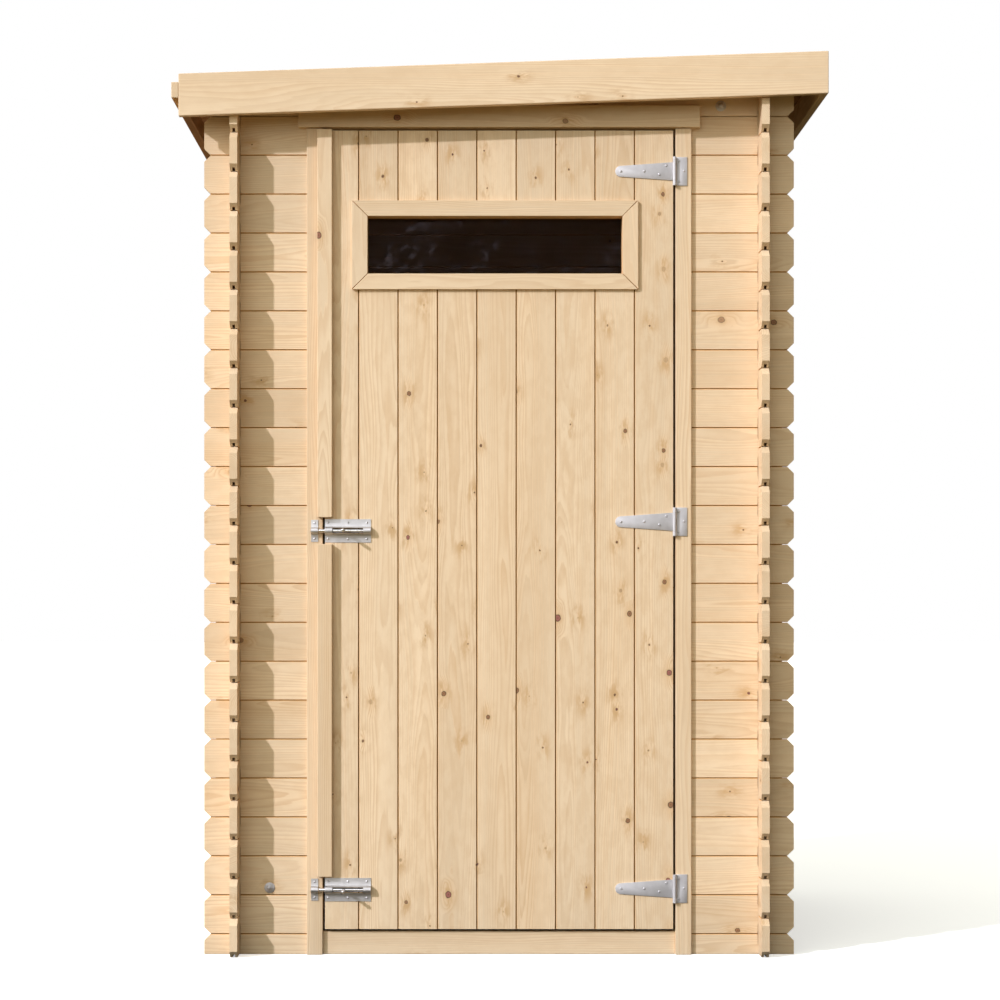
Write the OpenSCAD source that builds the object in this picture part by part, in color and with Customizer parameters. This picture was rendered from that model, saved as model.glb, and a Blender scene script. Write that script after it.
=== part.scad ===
// Small garden shed of interlocking planks, with a mono-pitch roof and one ledged door.
// The front faces -Y, +X is to its right and the ground is z = 0.
// The roof falls towards -X. All sizes are in millimetres.

/* [Planks] */
// Thickness of every wall plank
plank_t = 16; // [14:1:20]
// Height that each plank adds to a wall
plank_pitch = 82; // [76:1:90]
// Number of full planks in the low side wall
plank_count = 22; // [18:1:24]
// Height of the cut plank that starts the front and back walls half a plank out of step
starter_h = 43; // [38:0.1:46]
// Length of the plank ends past each crossing
log_end = 59; // [45:1:75]
// Chamfer on the upper and lower corner of each plank end
end_chamfer = 14; // [8:1:18]
// Play between crossing planks, on each side
lap_play = 0.3; // [0.1:0.1:0.5]

/* [Walls] */
// Length of the front and back planks, over their ends
front_len = 1242; // [1160:1:1500]
// Length of the side planks, over their ends
side_len = 1146; // [900:10:1500]
// Height of the low side wall above its last full plank
eaves_trim = 3.4; // [2:0.1:12]

/* [Roof] */
// Fall of the roof in degrees
roof_fall = 2; // [1.2:0.02:3]
// Thickness of the roof boards
deck_t = 16; // [14:1:20]
// Play between the walls' tops and the roof boards
roof_play = 0.1; // [0.1:0.1:0.5]
// Reach of the roof past the outer face of each side wall
side_overhang = 104; // [85:1:130]
// Gap between the side plank ends and the front and back fascias
fascia_gap = 1; // [0.5:0.5:4]
// Thickness of the fascia boards
fascia_t = 16; // [14:1:20]
// Height of the fascia boards
fascia_h = 88; // [75:0.5:100]
// Height of the fascia's top edge above the roof boards
fascia_rise = 17.5; // [8:0.5:24]
// Thickness of the board under the low edge of the roof
eave_board_t = 16; // [14:1:20]
// Height of the board under the low edge of the roof
eave_board_h = 58; // [50:1:75]
// Thickness of the batten outside that board
eave_batten_t = 15; // [14:1:24]
// Height of the batten outside that board
eave_batten_h = 33; // [25:1:45]
// Width of the two roof purlins
purlin_w = 36; // [28:1:45]
// Height of the two roof purlins
purlin_h = 44; // [36:1:48]
// Distance between the purlins' centre lines
purlin_spacing = 380; // [300:10:460]

/* [Door frame] */
// Width of the doorway between the posts
doorway_w = 742; // [680:2:780]
// Height of the sill, between the posts
sill_h = 48.4; // [40:0.1:54]
// Height of the frame's head, under the top plank
head_h = 27.2; // [24:0.1:40]
// Width of the posts, seen from the front
post_w = 33.5; // [30:0.5:45]
// How far the posts stand out from the wall's outer face
post_proud = 9; // [6:0.5:9]
// How far the posts and the head stand in past the wall's inner face
post_inside = 10; // [6:1:16]
// Depth of the groove that holds the plank ends
post_groove = 12; // [8:1:16]
// Play around the plank ends in that groove
groove_play = 0.3; // [0.1:0.1:0.5]
// Length of the cover board over the doorway
header_len = 844; // [800:2:900]
// Height of that cover board
header_h = 46; // [36:1:55]
// Thickness of that cover board
header_t = 16; // [12:1:20]
// Height of its lower edge above the doorway
header_lift = 1.2; // [0.5:0.1:6]

/* [Door] */
// Gap beside and above the door leaf
door_gap = 5; // [5:0.5:8]
// Gap between the sill and the door leaf
sill_gap = 6; // [5:0.1:14]
// Thickness of the door boards
door_t = 16; // [14:1:20]
// How far the door's face stands out from the wall's outer face
door_proud = 10; // [10:0.5:12]
// Height of the three ledges behind the door boards
ledge_h = 82; // [70:1:95]
// Thickness of the ledges
ledge_t = 16; // [14:1:20]
// Distance from the leaf's edges to the ends of the ledges
ledge_inset = 36; // [25:1:50]
// Width of the closing strip on the lock side
strip_w = 31; // [26:0.5:40]
// Thickness of the closing strip
strip_t = 16; // [10:1:20]
// How far the closing strip reaches over the post
strip_lap = 10.3; // [6:0.1:14]
// Room that the closing strip leaves above and below each bolt
strip_room = 28; // [26:1:34]

/* [Window] */
// Clear width of the window
window_w = 535.4; // [440:0.2:560]
// Clear height of the window
window_h = 120.8; // [90:0.1:140]
// Sideways distance of the window's centre from the door's centre line
window_shift = -8.6; // [-20:0.1:20]
// Distance from the leaf's top to the top of the window trim
window_drop = 147.7; // [140:0.1:200]
// Width of the trim around the window
trim_w = 33; // [26:1:40]
// Thickness of the outer trim
trim_t = 7; // [5:0.5:12]
// Thickness of the boards that line the window
liner_t = 10; // [8:1:14]
// Distance from the trim's face to the glass
glass_depth = 33; // [27:1:40]
// Thickness of the glass
glass_t = 4; // [3:0.5:6]
// Thickness of the inner trim behind the glass
bead_t = 7; // [5:0.5:12]

/* [Hinges] */
// Height of the top hinge's centre below the leaf's top
top_hinge_drop = 86; // [70:1:105]
// Height of the middle hinge's centre above the leaf's bottom
middle_hinge_lift = 856; // [700:1:950]
// Height of the bottom hinge's centre above the leaf's bottom
bottom_hinge_lift = 85; // [60:1:110]
// Length of the straps from the pin to the tip
strap_len = 124.5; // [100:0.5:150]
// Height of the straps at the pin
strap_h = 39; // [32:1:44]
// Height of the straps at the tip
strap_tip_h = 23; // [16:1:28]
// Height of the hinge plates
plate_h = 60; // [55:1:70]
// Reach of the hinge plates from the pin
plate_w = 27; // [24:0.5:30]
// Thickness of the hinges' sheet
hinge_t = 2; // [1.5:0.1:2.5]
// Outer radius of the knuckles
knuckle_r = 4.2; // [3.8:0.1:4.4]
// Radius of the hinge pins
pin_r = 2; // [1.5:0.1:2.4]
// Gap between the knuckles, along the pin
knuckle_gap = 0.3; // [0.2:0.1:0.6]
// Gap between the knuckles and the door's face
knuckle_lift = 0.4; // [0.3:0.1:0.8]
// Room around each strap's eye in the hinge plate
knuckle_room = 1; // [0.8:0.1:1.6]
// Radial play of each pin in its strap
pin_play = 0.05; // [0.02:0.01:0.1]

/* [Bolts] */
// Height of the upper bolt above the leaf's bottom
upper_bolt_lift = 837; // [700:1:950]
// Height of the lower bolt above the leaf's bottom
lower_bolt_lift = 83; // [60:1:110]
// Length of the bolt plates
bolt_plate_len = 96.5; // [90:0.5:110]
// Height of the bolt plates
bolt_plate_h = 49; // [40:1:50]
// Thickness of the bolts' sheet
bolt_sheet_t = 1.5; // [1:0.1:1.5]
// Radius of the bolt rods
rod_r = 4; // [3:0.1:4]
// Length of the bolt rods
rod_len = 104.5; // [95:0.5:115]
// Radial play of each rod in its barrel
rod_play = 0.05; // [0.02:0.01:0.1]
// Distance from the door's face to the centre line of the rods
rod_stand = 5.6; // [5.6:0.1:7]
// Outer radius of the barrels
barrel_r = 8.3; // [7.5:0.1:8.5]
// Length of solid barrel at each end of a bolt plate
barrel_end = 16; // [12:0.5:18]
// Width of the slot that the knob runs in
slot_w = 12; // [10:0.1:12.5]
// Distance from a rod's tip to the centre of its knob
knob_back = 53; // [50:0.5:56]
// Radius of the knobs
knob_r = 3.5; // [2.5:0.1:3.7]
// Height of the knobs above the door's face
knob_reach = 46; // [25:1:50]
// Gap between each rod's tip and its keeper when the bolt is drawn
drawn_gap = 0.8; // [0.5:0.1:3]
// Length of the keepers along the rods
keeper_len = 15; // [12:0.5:18]
// Height of the keepers
keeper_h = 46; // [36:1:46]
// Outer radius of the keepers' loops
keeper_r = 7; // [6:0.1:8]
// Gap between each keeper and the bolt plate beside it
keeper_gap = 14.3; // [10:0.1:18]
// Radial play of the rods in the keepers
keeper_play = 0.6; // [0.4:0.1:1]

/* [Hidden] */
$fn = 64;

spruce = [0.92, 0.80, 0.65];
spruce_cut = [0.87, 0.74, 0.58];
zinc = [0.77, 0.76, 0.77];
steel = [0.86, 0.86, 0.87];
pane = [0.14, 0.08, 0.06, 0.6];

// Overshoot of cutting shapes past the faces they cut
past = 1;
// Depth of a cut that runs clear out of the part
clear_out = 200;

// Wall faces
side_face = front_len / 2 - log_end;
side_inner = side_face - plank_t;
front_face = side_len / 2 - log_end;
front_inner = front_face - plank_t;
lap_h = plank_pitch / 2;
first_side_lap = starter_h / 2;
first_front_lap = (starter_h + plank_pitch) / 2;

// Roof plane: height of the roof boards' underside and top at a distance x from the centre
low_side_h = plank_count * plank_pitch + eaves_trim;
function roof_under(x) = low_side_h + (x + side_face) * tan(roof_fall);
function roof_top(x) = roof_under(x) + deck_t / cos(roof_fall);
function wall_top(x) = roof_under(x) - roof_play;
roof_half = side_face + side_overhang;
deck_half = side_len / 2 + fascia_gap;
fascia_half = deck_half + fascia_t;
high_side_h = roof_under(side_face);
plank_rows = ceil(high_side_h / plank_pitch) + 1;

// Doorway: the top plank starts at the last full joint of the front wall
top_joint = starter_h + plank_pitch * (plank_count - 1);
doorway_h = top_joint - head_h;
post_inner = doorway_w / 2;
post_outer = post_inner + post_w;
wall_stop = post_outer - post_groove + groove_play;
head_back = front_inner - post_inside;

// Door leaf
leaf_half = post_inner - door_gap;
leaf_bottom = sill_h + sill_gap;
leaf_top = doorway_h - door_gap;
leaf_face = front_face + door_proud;
leaf_back = leaf_face - door_t;
ledge_half = leaf_half - ledge_inset;
strip_left = -post_inner - strip_lap;

// Window: the clear opening, the liner around it and the trim around that
window_left = window_shift - window_w / 2;
window_top = leaf_top - window_drop - trim_w;
window_bottom = window_top - window_h;
trim_face = leaf_face + trim_t;
glass_face = trim_face - glass_depth;
glass_back = glass_face - glass_t;
bead_face = glass_back - bead_t;

// Hinges
pin_x = post_inner - door_gap / 2;
pin_stand = knuckle_r + knuckle_lift;
pin_y = -leaf_face - pin_stand;
top_hinge_z = leaf_top - top_hinge_drop;
middle_hinge_z = leaf_bottom + middle_hinge_lift;
bottom_hinge_z = leaf_bottom + bottom_hinge_lift;
knuckle_relief = knuckle_r + knuckle_room;

// Bolts, drawn clear of their keepers
bolt_left = -leaf_half;
keeper_right = bolt_left - keeper_gap;
rod_tip = keeper_right + drawn_gap;
rod_y = -leaf_face - rod_stand;
knob_x = rod_tip + knob_back;
upper_bolt_z = leaf_bottom + upper_bolt_lift;
lower_bolt_z = leaf_bottom + lower_bolt_lift;

// Extrudes an outline drawn in X and Z between two distances along Y
module along_y(y_from, y_to) {
    translate([0, y_to, 0])
        rotate([90, 0, 0])
            linear_extrude(y_to - y_from)
                children();
}

// Extrudes an outline drawn in Y and Z between two distances along X
module along_x(x_from, x_to) {
    translate([x_from, 0, 0])
        rotate([90, 0, 90])
            linear_extrude(x_to - x_from)
                children();
}

// A rectangular block between two corners
module block(low, high) {
    translate(low)
        cube(high - low);
}

// The V-shaped notches that chamfered plank ends leave along one end of a wall
function end_notches(u, inward, joints) = [
    for (z = joints) each [
        [u, z - end_chamfer],
        [u + inward * end_chamfer, z],
        [u, z + end_chamfer]
    ]
];

function reversed(list) = [for (i = [len(list) - 1:-1:0]) list[i]];

// Outline of a stack of planks with notched ends, and a top edge between two heights.
// The foot is the chamfer at the lower corners, and a stack that starts with a cut plank has none.
module plank_stack(half, joints_left, joints_right, top_left, top_right, foot) {
    polygon(concat(
        [[-half + foot, 0], [half - foot, 0]],
        foot > 0 ? [[half, foot]] : [],
        end_notches(half, -1, joints_right),
        [[half, top_right], [-half, top_left]],
        reversed(end_notches(-half, 1, joints_left)),
        foot > 0 ? [[-half, foot]] : []
    ));
}

// Joints of a wall whose first plank has the height first, up to a height
function joints_below(first, top) = [
    for (z = [first:plank_pitch:top - end_chamfer]) z
];

// The half-height laps of the side walls, as cut out of the front and back walls
module side_laps(y_from) {
    for (side = [-1, 1], row = [0:plank_rows])
        translate([side * (side_inner + plank_t / 2) - plank_t / 2 - lap_play, y_from - past,
                   first_side_lap + row * plank_pitch])
            cube([plank_t + 2 * lap_play, plank_t + 2 * past, lap_h]);
}

// The half-height laps of the front and back walls, as cut out of the side walls
module end_laps(x_from) {
    for (side = [-1, 1], row = [-1:plank_rows])
        translate([x_from - past, side * (front_inner + plank_t / 2) - plank_t / 2 - lap_play,
                   first_front_lap + row * plank_pitch])
            cube([plank_t + 2 * past, plank_t + 2 * lap_play, lap_h]);
}

// Everything above the tops of the walls
module above_walls() {
    along_y(-fascia_half - past, fascia_half + past)
        polygon([
            [-roof_half - past, wall_top(-roof_half - past)],
            [roof_half + past, wall_top(roof_half + past)],
            [roof_half + past, high_side_h + clear_out],
            [-roof_half - past, high_side_h + clear_out]
        ]);
}

// Both purlins, with their tops under the roof boards
module purlin_pair(y_from, y_to) {
    for (side = [-1, 1])
        along_y(y_from, y_to)
            polygon([
                for (step = [[-1, 1], [1, 1], [1, 0], [-1, 0]])
                    let (x = side * purlin_spacing / 2 + step[0] * purlin_w / 2)
                    [x, wall_top(x) - step[1] * purlin_h]
            ]);
}

// A whole front or back wall, from the ground to the roof boards
module end_wall(y_from) {
    half = front_len / 2;
    difference() {
        along_y(y_from, y_from + plank_t)
            plank_stack(
                half,
                joints_below(starter_h, wall_top(-half)),
                joints_below(starter_h, wall_top(half)),
                wall_top(-half),
                wall_top(half),
                0
            );
        side_laps(y_from);
        purlin_pair(y_from - past, y_from + plank_t + past);
    }
}

// A whole side wall, from the ground to the roof boards
module side_wall(x_from) {
    top = wall_top(x_from + plank_t);
    joints = joints_below(plank_pitch, wall_top(x_from));
    difference() {
        along_x(x_from, x_from + plank_t)
            plank_stack(side_len / 2, joints, joints, top, top, end_chamfer);
        end_laps(x_from);
        above_walls();
    }
}

// The front wall between two distances along X and two heights
module front_part(x_from, x_to, z_from, z_to) {
    intersection() {
        end_wall(-front_face);
        block([x_from, -front_face - past, z_from], [x_to, -front_inner + past, z_to]);
    }
}

module left_wall() {
    color(spruce)
        side_wall(-side_face);
}

module right_wall() {
    color(spruce)
        side_wall(side_inner);
}

module back_wall() {
    color(spruce)
        end_wall(front_inner);
}

module front_wall_left() {
    color(spruce)
        front_part(-front_len / 2 - past, -wall_stop, -past, top_joint);
}

module front_wall_right() {
    color(spruce)
        front_part(wall_stop, front_len / 2 + past, -past, top_joint);
}

module front_wall_top() {
    color(spruce)
        front_part(-front_len / 2 - past, front_len / 2 + past, top_joint, high_side_h + clear_out);
}

// A board between two distances along X that follows the roof's fall, by its top edge and height
module sloped_board(x_from, x_to, y_from, y_to, rise, height) {
    along_y(y_from, y_to)
        polygon([
            [x_from, roof_top(x_from) + rise - height],
            [x_to, roof_top(x_to) + rise - height],
            [x_to, roof_top(x_to) + rise],
            [x_from, roof_top(x_from) + rise]
        ]);
}

module roof_deck() {
    color(spruce)
        sloped_board(-roof_half + eave_board_t, roof_half, -deck_half, deck_half, 0, deck_t / cos(roof_fall));
}

module roof_purlins() {
    color(spruce_cut)
        purlin_pair(-front_face, front_face);
}

module end_fascia(y_from) {
    color(spruce)
        sloped_board(-roof_half, roof_half + fascia_t, y_from, y_from + fascia_t, fascia_rise, fascia_h);
}

module front_fascia() {
    end_fascia(-fascia_half);
}

module back_fascia() {
    end_fascia(deck_half);
}

module right_fascia() {
    color(spruce)
        sloped_board(roof_half, roof_half + fascia_t, -deck_half, deck_half, fascia_rise, fascia_h);
}

module eave_board() {
    color(spruce)
        sloped_board(-roof_half, -roof_half + eave_board_t, -deck_half, deck_half, 0, eave_board_h);
}

module eave_batten() {
    top = roof_top(-roof_half);
    color(spruce_cut)
        block(
            [-roof_half - eave_batten_t, -fascia_half, top - eave_batten_h],
            [-roof_half, fascia_half, top]
        );
}

module door_sill() {
    color(spruce)
        block([-post_inner, -front_face, 0], [post_inner, -front_inner, sill_h]);
}

// A door post with its groove on the outer side: side is -1 for the left and 1 for the right
module door_post(side) {
    groove_t = plank_t + 2 * groove_play;
    color(spruce)
        difference() {
            translate([side * (post_inner + post_w / 2) - post_w / 2, -front_face - post_proud, 0])
                cube([post_w, front_face + post_proud - head_back, doorway_h]);
            translate([side * (post_outer - post_groove / 2 + past / 2), -front_face + plank_t / 2, 0])
                translate([-(post_groove + past) / 2, -groove_t / 2, -past])
                    cube([post_groove + past, groove_t, doorway_h + 2 * past]);
        }
}

module door_post_left() {
    door_post(-1);
}

module door_post_right() {
    door_post(1);
}

module door_head() {
    color(spruce_cut)
        block([-wall_stop, -front_face, doorway_h], [wall_stop, -head_back, top_joint]);
}

module header_board() {
    lower = doorway_h + header_lift;
    color(spruce)
        block(
            [-header_len / 2, -front_face - header_t, lower],
            [header_len / 2, -front_face, lower + header_h]
        );
}

// The window's clear opening, widened on every side, between two distances along Y
module window_block(y_from, y_to, wider) {
    block(
        [window_left - wider, y_from, window_bottom - wider],
        [window_left + window_w + wider, y_to, window_top + wider]
    );
}

module door_leaf() {
    color(spruce)
        difference() {
            block([-leaf_half, -leaf_face, leaf_bottom], [leaf_half, -leaf_back, leaf_top]);
            window_block(-leaf_face - past, -leaf_back + past, liner_t);
        }
}

module door_ledge(z) {
    color(spruce_cut)
        block(
            [-ledge_half, -leaf_back, z - ledge_h / 2],
            [ledge_half, -leaf_back + ledge_t, z + ledge_h / 2]
        );
}

module door_ledge_top() {
    door_ledge(top_hinge_z);
}

module door_ledge_middle() {
    door_ledge(middle_hinge_z);
}

module door_ledge_bottom() {
    door_ledge(bottom_hinge_z);
}

module strip_piece(z_from, z_to) {
    block(
        [strip_left, -leaf_face - strip_t, z_from],
        [strip_left + strip_w, -leaf_face, z_to]
    );
}

module closing_strip() {
    color(spruce) {
        strip_piece(lower_bolt_z + strip_room, upper_bolt_z - strip_room);
        strip_piece(upper_bolt_z + strip_room, leaf_top);
    }
}

module window_trim() {
    color(spruce)
        difference() {
            window_block(-trim_face, -leaf_face, trim_w);
            window_block(-trim_face - past, -leaf_face + past, 0);
        }
}

module window_liner() {
    color(spruce_cut)
        difference() {
            window_block(-leaf_face, -glass_face, liner_t);
            window_block(-leaf_face - past, -glass_face + past, 0);
        }
}

module window_glass() {
    color(pane)
        window_block(-glass_face, -glass_back, liner_t);
}

module window_bead() {
    color(spruce_cut)
        difference() {
            window_block(-leaf_back, -bead_face, trim_w);
            window_block(-leaf_back - past, -glass_back, liner_t);
            window_block(-leaf_back - past, -bead_face + past, 0);
        }
}

// The part of a hinge that the door carries: a tapered strap and its eye around the pin
module hinge_strap(z) {
    tip = strap_tip_h / 2;
    eye_h = strap_h;
    color(zinc)
        difference() {
            union() {
                along_y(-leaf_face - hinge_t, -leaf_face) {
                    polygon([
                        [pin_x - strap_len + tip, z - tip],
                        [pin_x, z - strap_h / 2],
                        [pin_x, z + strap_h / 2],
                        [pin_x - strap_len + tip, z + tip]
                    ]);
                    translate([pin_x - strap_len + tip, z])
                        circle(tip);
                }
                translate([pin_x, pin_y, z - eye_h / 2])
                    cylinder(h = eye_h, r = knuckle_r);
            }
            translate([pin_x, pin_y, z - eye_h / 2 - past])
                cylinder(h = eye_h + 2 * past, r = pin_r + pin_play);
        }
}

// The part of a hinge that the post carries: a plate, two knuckles and the pin
module hinge_plate(z) {
    knuckle_from = strap_h / 2 + knuckle_gap;
    color(zinc) {
        difference() {
            block(
                [pin_x, -front_face - post_proud - hinge_t, z - plate_h / 2],
                [pin_x + plate_w, -front_face - post_proud, z + plate_h / 2]
            );
            block(
                [pin_x - past, -front_face - post_proud - hinge_t - past, z - knuckle_from],
                [pin_x + knuckle_relief, -front_face - post_proud + past, z + knuckle_from]
            );
        }
        for (side = [-1, 1])
            translate([pin_x, pin_y, z + (side < 0 ? -plate_h / 2 : knuckle_from)])
                cylinder(h = plate_h / 2 - knuckle_from, r = knuckle_r);
        translate([pin_x, pin_y, z - plate_h / 2])
            cylinder(h = plate_h, r = pin_r);
    }
}

module hinge_strap_top() {
    hinge_strap(top_hinge_z);
}

module hinge_strap_middle() {
    hinge_strap(middle_hinge_z);
}

module hinge_strap_bottom() {
    hinge_strap(bottom_hinge_z);
}

module hinge_plate_top() {
    hinge_plate(top_hinge_z);
}

module hinge_plate_middle() {
    hinge_plate(middle_hinge_z);
}

module hinge_plate_bottom() {
    hinge_plate(bottom_hinge_z);
}

// A round rod or hole along X
module rod_along_x(x_from, x_to, z, radius) {
    translate([x_from, rod_y, z])
        rotate([0, 90, 0])
            cylinder(h = x_to - x_from, r = radius);
}

// A pressed loop around a rod, cut off flat where it stands on a face at the distance face_y
module rod_loop(x_from, x_to, z, face_y, radius) {
    difference() {
        union() {
            rod_along_x(x_from, x_to, z, radius);
            block([x_from, rod_y, z - radius], [x_to, face_y, z + radius]);
        }
        block(
            [x_from - past, face_y, z - radius - past],
            [x_to + past, face_y + radius, z + radius + past]
        );
    }
}

// The plate and slotted barrel of a bolt
module bolt_plate(z) {
    right = bolt_left + bolt_plate_len;
    color(zinc)
        difference() {
            union() {
                block(
                    [bolt_left, -leaf_face - bolt_sheet_t, z - bolt_plate_h / 2],
                    [right, -leaf_face, z + bolt_plate_h / 2]
                );
                rod_loop(bolt_left, right, z, -leaf_face, barrel_r);
            }
            rod_along_x(bolt_left - past, right + past, z, rod_r + rod_play);
            block(
                [bolt_left + barrel_end, rod_y - barrel_r - past, z - slot_w / 2],
                [right - barrel_end, rod_y, z + slot_w / 2]
            );
        }
}

// The sliding rod of a bolt with its knob
module bolt_rod(z) {
    knob_len = knob_reach - rod_stand;
    color(steel) {
        rod_along_x(rod_tip, rod_tip + rod_len, z, rod_r);
        translate([knob_x, rod_y, z])
            rotate([90, 0, 0])
                cylinder(h = knob_len, r = knob_r);
    }
}

// The closed keeper on the post that a rod slides into
module bolt_keeper(z) {
    left = keeper_right - keeper_len;
    face_y = -front_face - post_proud;
    color(zinc)
        difference() {
            union() {
                block([left, face_y - bolt_sheet_t, z - keeper_h / 2], [keeper_right, face_y, z + keeper_h / 2]);
                rod_loop(left, keeper_right, z, face_y, keeper_r);
            }
            rod_along_x(left - past, keeper_right + past, z, rod_r + keeper_play);
        }
}

module bolt_plate_upper() {
    bolt_plate(upper_bolt_z);
}

module bolt_plate_lower() {
    bolt_plate(lower_bolt_z);
}

module bolt_rod_upper() {
    bolt_rod(upper_bolt_z);
}

module bolt_rod_lower() {
    bolt_rod(lower_bolt_z);
}

module bolt_keeper_upper() {
    bolt_keeper(upper_bolt_z);
}

module bolt_keeper_lower() {
    bolt_keeper(lower_bolt_z);
}

left_wall();
right_wall();
back_wall();
front_wall_left();
front_wall_right();
front_wall_top();
roof_deck();
roof_purlins();
front_fascia();
back_fascia();
right_fascia();
eave_board();
eave_batten();
door_sill();
door_post_left();
door_post_right();
door_head();
header_board();
door_leaf();
door_ledge_top();
door_ledge_middle();
door_ledge_bottom();
closing_strip();
window_trim();
window_liner();
window_glass();
window_bead();
hinge_strap_top();
hinge_strap_middle();
hinge_strap_bottom();
hinge_plate_top();
hinge_plate_middle();
hinge_plate_bottom();
bolt_plate_upper();
bolt_plate_lower();
bolt_rod_upper();
bolt_rod_lower();
bolt_keeper_upper();
bolt_keeper_lower();
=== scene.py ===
"""Looks of a small garden shed: interlocking planks, a ledged door and zinc-plated fittings."""

import logging
import math
import random
from collections.abc import Callable, Iterable, Sequence
from dataclasses import dataclass, replace
from enum import Enum

import bmesh
import bpy
from mathutils import Matrix, Vector


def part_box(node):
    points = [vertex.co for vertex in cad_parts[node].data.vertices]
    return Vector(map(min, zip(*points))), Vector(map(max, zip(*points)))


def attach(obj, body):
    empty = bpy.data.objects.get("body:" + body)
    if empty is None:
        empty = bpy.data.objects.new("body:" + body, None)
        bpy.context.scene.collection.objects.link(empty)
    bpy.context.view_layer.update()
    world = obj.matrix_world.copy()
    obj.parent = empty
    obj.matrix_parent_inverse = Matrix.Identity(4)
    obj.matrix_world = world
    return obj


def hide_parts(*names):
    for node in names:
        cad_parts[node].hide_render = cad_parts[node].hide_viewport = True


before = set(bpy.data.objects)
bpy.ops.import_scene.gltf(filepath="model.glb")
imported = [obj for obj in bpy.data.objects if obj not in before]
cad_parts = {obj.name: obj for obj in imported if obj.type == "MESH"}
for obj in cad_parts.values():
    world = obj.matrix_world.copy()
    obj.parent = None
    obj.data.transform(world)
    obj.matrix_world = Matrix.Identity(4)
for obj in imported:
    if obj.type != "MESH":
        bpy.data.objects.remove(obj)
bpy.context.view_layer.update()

log = logging.getLogger("shed")

Mesh = bmesh.types.BMesh
Pair = tuple[float, float]
Pairs = list[Pair]
Tint = tuple[float, float, float, float]

RIGHT = Vector((1.0, 0.0, 0.0))
BACK = Vector((0.0, 1.0, 0.0))
UP = Vector((0.0, 0.0, 1.0))
SMALL = 1e-6
FULL_TURN = 2.0 * math.pi
WHITE = (1.0, 1.0, 1.0, 1.0)


class Slot(Enum):
    """The record's material slots."""

    WOOD = "spruce"
    METAL = "zinc"
    PANE = "glass"


class Edge(Enum):
    """How one edge of a board is worked."""

    SQUARE = "square"
    JOINT = "joint"
    TONGUE = "tongue"
    GROOVE = "groove"


# ---------------------------------------------------------------- workshop


def everything(bm: Mesh) -> list:
    """Returns all the geometry of a mesh, as the bisect operator takes it."""
    return [*bm.verts, *bm.edges, *bm.faces]


def prism(outline: Iterable[Vector], sweep: Vector) -> Mesh:
    """Sweeps a flat outline straight into a closed block.

    Args:
        outline: The outline's corners, in order.
        sweep: How far and which way the outline is swept.

    Returns:
        The block, with its faces pointing outwards.
    """
    bm = bmesh.new()
    face = bm.faces.new([bm.verts.new(corner) for corner in outline])
    swept = bmesh.ops.extrude_face_region(bm, geom=[face])
    moved = [item for item in swept["geom"] if isinstance(item, bmesh.types.BMVert)]
    bmesh.ops.translate(bm, vec=sweep, verts=moved)
    bmesh.ops.recalc_face_normals(bm, faces=bm.faces)
    return bm


def block(low: Vector, high: Vector, easing: float) -> Mesh:
    """Makes a rectangular block with eased edges.

    Args:
        low: Its lowest corner.
        high: Its highest corner.
        easing: How far its edges are rounded.

    Returns:
        The block.
    """
    bm = bmesh.new()
    bmesh.ops.create_cube(bm, size=1.0)
    bmesh.ops.scale(bm, vec=high - low, verts=bm.verts)
    bmesh.ops.translate(bm, vec=(low + high) / 2, verts=bm.verts)
    ease(bm, easing)
    return bm


def turned(profile: Pairs, steps: int) -> Mesh:
    """Turns a profile of radius and height about the Z axis.

    Args:
        profile: Radius and height of each point, from the foot to the top.
        steps: How many facets go round.

    Returns:
        The turned shape, closed where the profile starts and ends on the axis.
    """
    bm = bmesh.new()
    verts = [bm.verts.new((radius, 0.0, height)) for radius, height in profile]
    edges = [bm.edges.new(pair) for pair in zip(verts, verts[1:])]
    bmesh.ops.spin(
        bm, geom=[*verts, *edges], axis=UP, angle=FULL_TURN, steps=steps, use_merge=True
    )
    bmesh.ops.remove_doubles(bm, verts=bm.verts, dist=SMALL)
    bmesh.ops.recalc_face_normals(bm, faces=bm.faces)
    return bm


def stand(bm: Mesh, at: Vector, axis: Vector) -> Mesh:
    """Moves a shape that stands along Z at the origin.

    Args:
        bm: The shape.
        at: Where its foot goes.
        axis: Which way it stands there.

    Returns:
        The shape.
    """
    turn = axis.to_track_quat("Z", "Y").to_matrix().to_4x4()
    bmesh.ops.transform(bm, matrix=Matrix.Translation(at) @ turn, verts=bm.verts)
    return bm


def arc(centre: Pair, radius: float, start: float, end: float, steps: int) -> Pairs:
    """Returns points along an arc in a plane.

    Args:
        centre: The arc's centre.
        radius: The arc's radius.
        start: The angle of its first point, in degrees.
        end: The angle of its last point, in degrees.
        steps: How many equal parts the arc has.
    """
    turns = [math.radians(start + (end - start) * i / steps) for i in range(steps + 1)]
    return [(centre[0] + radius * math.cos(a), centre[1] + radius * math.sin(a)) for a in turns]


def score(bm: Mesh, at: Vector, normal: Vector) -> None:
    """Cuts a mesh's faces along a plane and keeps both sides."""
    bmesh.ops.bisect_plane(bm, geom=everything(bm), plane_co=at, plane_no=normal)


def saw(bm: Mesh, at: Vector, normal: Vector) -> None:
    """Saws off what lies past a plane and closes the cut.

    Args:
        bm: The closed block that is sawn.
        at: A point on the plane.
        normal: The direction of the waste.
    """
    cut = bmesh.ops.bisect_plane(
        bm, geom=everything(bm), plane_co=at, plane_no=normal, clear_outer=True
    )
    rim = [item for item in cut["geom_cut"] if isinstance(item, bmesh.types.BMEdge)]
    bmesh.ops.holes_fill(bm, edges=rim)


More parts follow.
